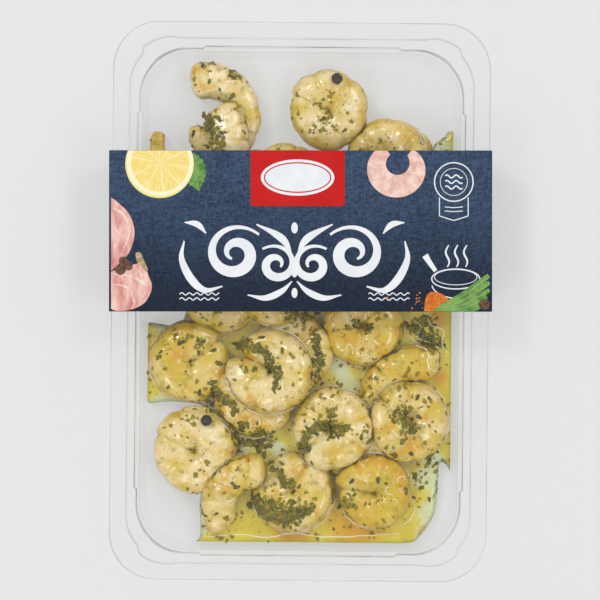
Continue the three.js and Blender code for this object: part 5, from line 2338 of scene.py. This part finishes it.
    def scroll(self) -> None:
        """Builds the white mirrored flourish and the thin waves under it."""
        ink_layer = Layer("print_scroll", WHITE_INK)
        strokes = (
            (self.spiral((-26, -9), (12.4, 2.4), 40, 560), 1.0, 4.6),
            (self.spiral((-9.6, -13.4), (8.6, 1.8), 130, -520), 0.9, 3.4),
            (smooth_line([(-31, -22), (-38, -23.5), (-43.5, -19), (-47.2, -11), (-46.2, -4)], 10), 0.6, 3.2),
            (smooth_line([(-17.5, 2.6), (-10, -1.2), (-6, -4.6), (-3.4, -10)], 10), 0.6, 3.0),
            (smooth_line([(-37.5, -1), (-41, 2.6), (-46, 3.4)], 10), 0.5, 2.4),
            (smooth_line([(-21, -25.4), (-14, -26.6), (-7.6, -24), (-3.4, -20)], 10), 0.5, 2.6),
        )
        for path, thin, thick in strokes:
            share = np.linspace(0, 1, len(path))
            widths = thin + (thick - thin) * np.sin(math.pi * share) ** 1.4
            for side in (1, -1):
                mirrored = np.column_stack([self.mirror + side * (path[:, 0] + 2.4), path[:, 1]])
                ink_layer.stroke(mirrored, widths)
        for spot, radii in (((-2.4, -15), (1.5, 3.4)), ((-2.4, 1.2), (1.3, 2.2)), ((-2.4, -24.6), (1.2, 2))):
            drop = arc(spot, radii, 0, 360, 33)[:-1]
            ink_layer.area(drop)
        ink_layer.build(self.sleeve)
        waves = Layer("print_waves", WHITE_INK, lift=0.03)
        for start, end in ((-48, -32), (27, 43.5)):
            across = np.arange(start, end, 0.25)
            for drop in (-25, -27):
                waves.stroke(np.column_stack([across, drop + 0.45 * np.sin(across * 2.1)]), 0.42)
        waves.build(self.sleeve)

    def spiral(self, centre: Pair, radii: Pair, start: float, turn: float, steps: int = 110) -> np.ndarray:
        """Gives points along a spiral that closes in.

        Args:
            centre: The spiral's middle.
            radii: Its radius at the start and the end.
            start: Where it starts, in degrees.
            turn: How far it runs, in degrees.
            steps: How many points it has.

        Returns:
            Rows of across and along.
        """
        share = np.linspace(0, 1, steps)
        angle = np.radians(start + turn * share)
        radius = radii[0] + (radii[1] - radii[0]) * share**0.8
        return np.column_stack([centre[0] + radius * np.cos(angle), centre[1] + radius * 0.95 * np.sin(angle)])


@dataclass
class Studio:
    """Floor, lights and camera."""

    camera_height: float = 1300.0
    frame_width: float = 238.3
    aim: Pair = (0.03, 0.6)
    roll: float = 0.55
    sensor: float = 36.0
    rim: float = 27.3
    floor_half: float = 1500.0
    sky: float = 0.6
    softboxes: tuple[tuple[str, float, float, float, float, float], ...] = (
        ("key_light", -450, 500, 900, 240, 2.6), ("side_light", 500, 420, 900, 300, 1.6),
        ("fill_light", 520, -320, 900, 300, 1.5), ("low_light", -440, -460, 900, 300, 1.7),
        ("glint_light", -160, 260, 1000, 40, 0.4),
    )

    def build(self) -> None:
        """Builds the studio."""
        half = self.floor_half
        low = -0.1
        corners = np.array([(-half, -half, low), (half, -half, low), (half, half, low), (-half, half, low)])
        make_piece("studio_floor", corners, [(0, 1, 2, 3)], [STUDIO_FLOOR])
        world = bpy.data.worlds.new("studio_sky")
        world.use_nodes = True
        sky = world.node_tree.nodes["Background"]
        sky.inputs["Color"].default_value = (1, 1, 1, 1)
        sky.inputs["Strength"].default_value = self.sky
        bpy.context.scene.world = world
        for name, x, y, z, size, watts in self.softboxes:
            self.softbox(name, (x, y, z), size, watts)
        data = bpy.data.cameras.new("camera")
        data.lens = self.sensor * (self.camera_height - self.rim) / self.frame_width
        data.sensor_width = self.sensor
        data.clip_end = 10
        camera = bpy.data.objects.new("camera", data)
        camera.location = (self.aim[0] * MM, self.aim[1] * MM, self.camera_height * MM)
        camera.rotation_euler = (0, 0, math.radians(self.roll))
        bpy.context.scene.collection.objects.link(camera)
        bpy.context.scene.camera = camera
        bpy.context.scene.view_settings.view_transform = "Standard"

    def softbox(self, name: str, place: tuple[float, float, float], size: float, watts: float) -> None:
        """Adds a square soft light that faces the pack.

        Args:
            name: The light's name.
            place: Where it hangs.
            size: Its side's length.
            watts: Its power.
        """
        data = bpy.data.lights.new(name, "AREA")
        data.energy = watts
        data.size = size * MM
        light = bpy.data.objects.new(name, data)
        light.location = Vector(place) * MM
        light.rotation_euler = (-light.location).to_track_quat("-Z", "Y").to_euler()
        bpy.context.scene.collection.objects.link(light)


def main() -> None:
    """Builds the pack's pieces in order."""
    logging.basicConfig(level=logging.INFO, format="%(name)s %(message)s")
    Studio().build()
    tray = Tray()
    tray.build()
    LidFilm().build()
    bed = ShrimpBed(tray)
    bed.build()
    pool = Pool(tray).build()
    Seasoning(bed, pool).build()
    sleeve = Sleeve()
    sleeve.build()
    Artwork(sleeve).build()


if __name__ == "__main__":
    main()
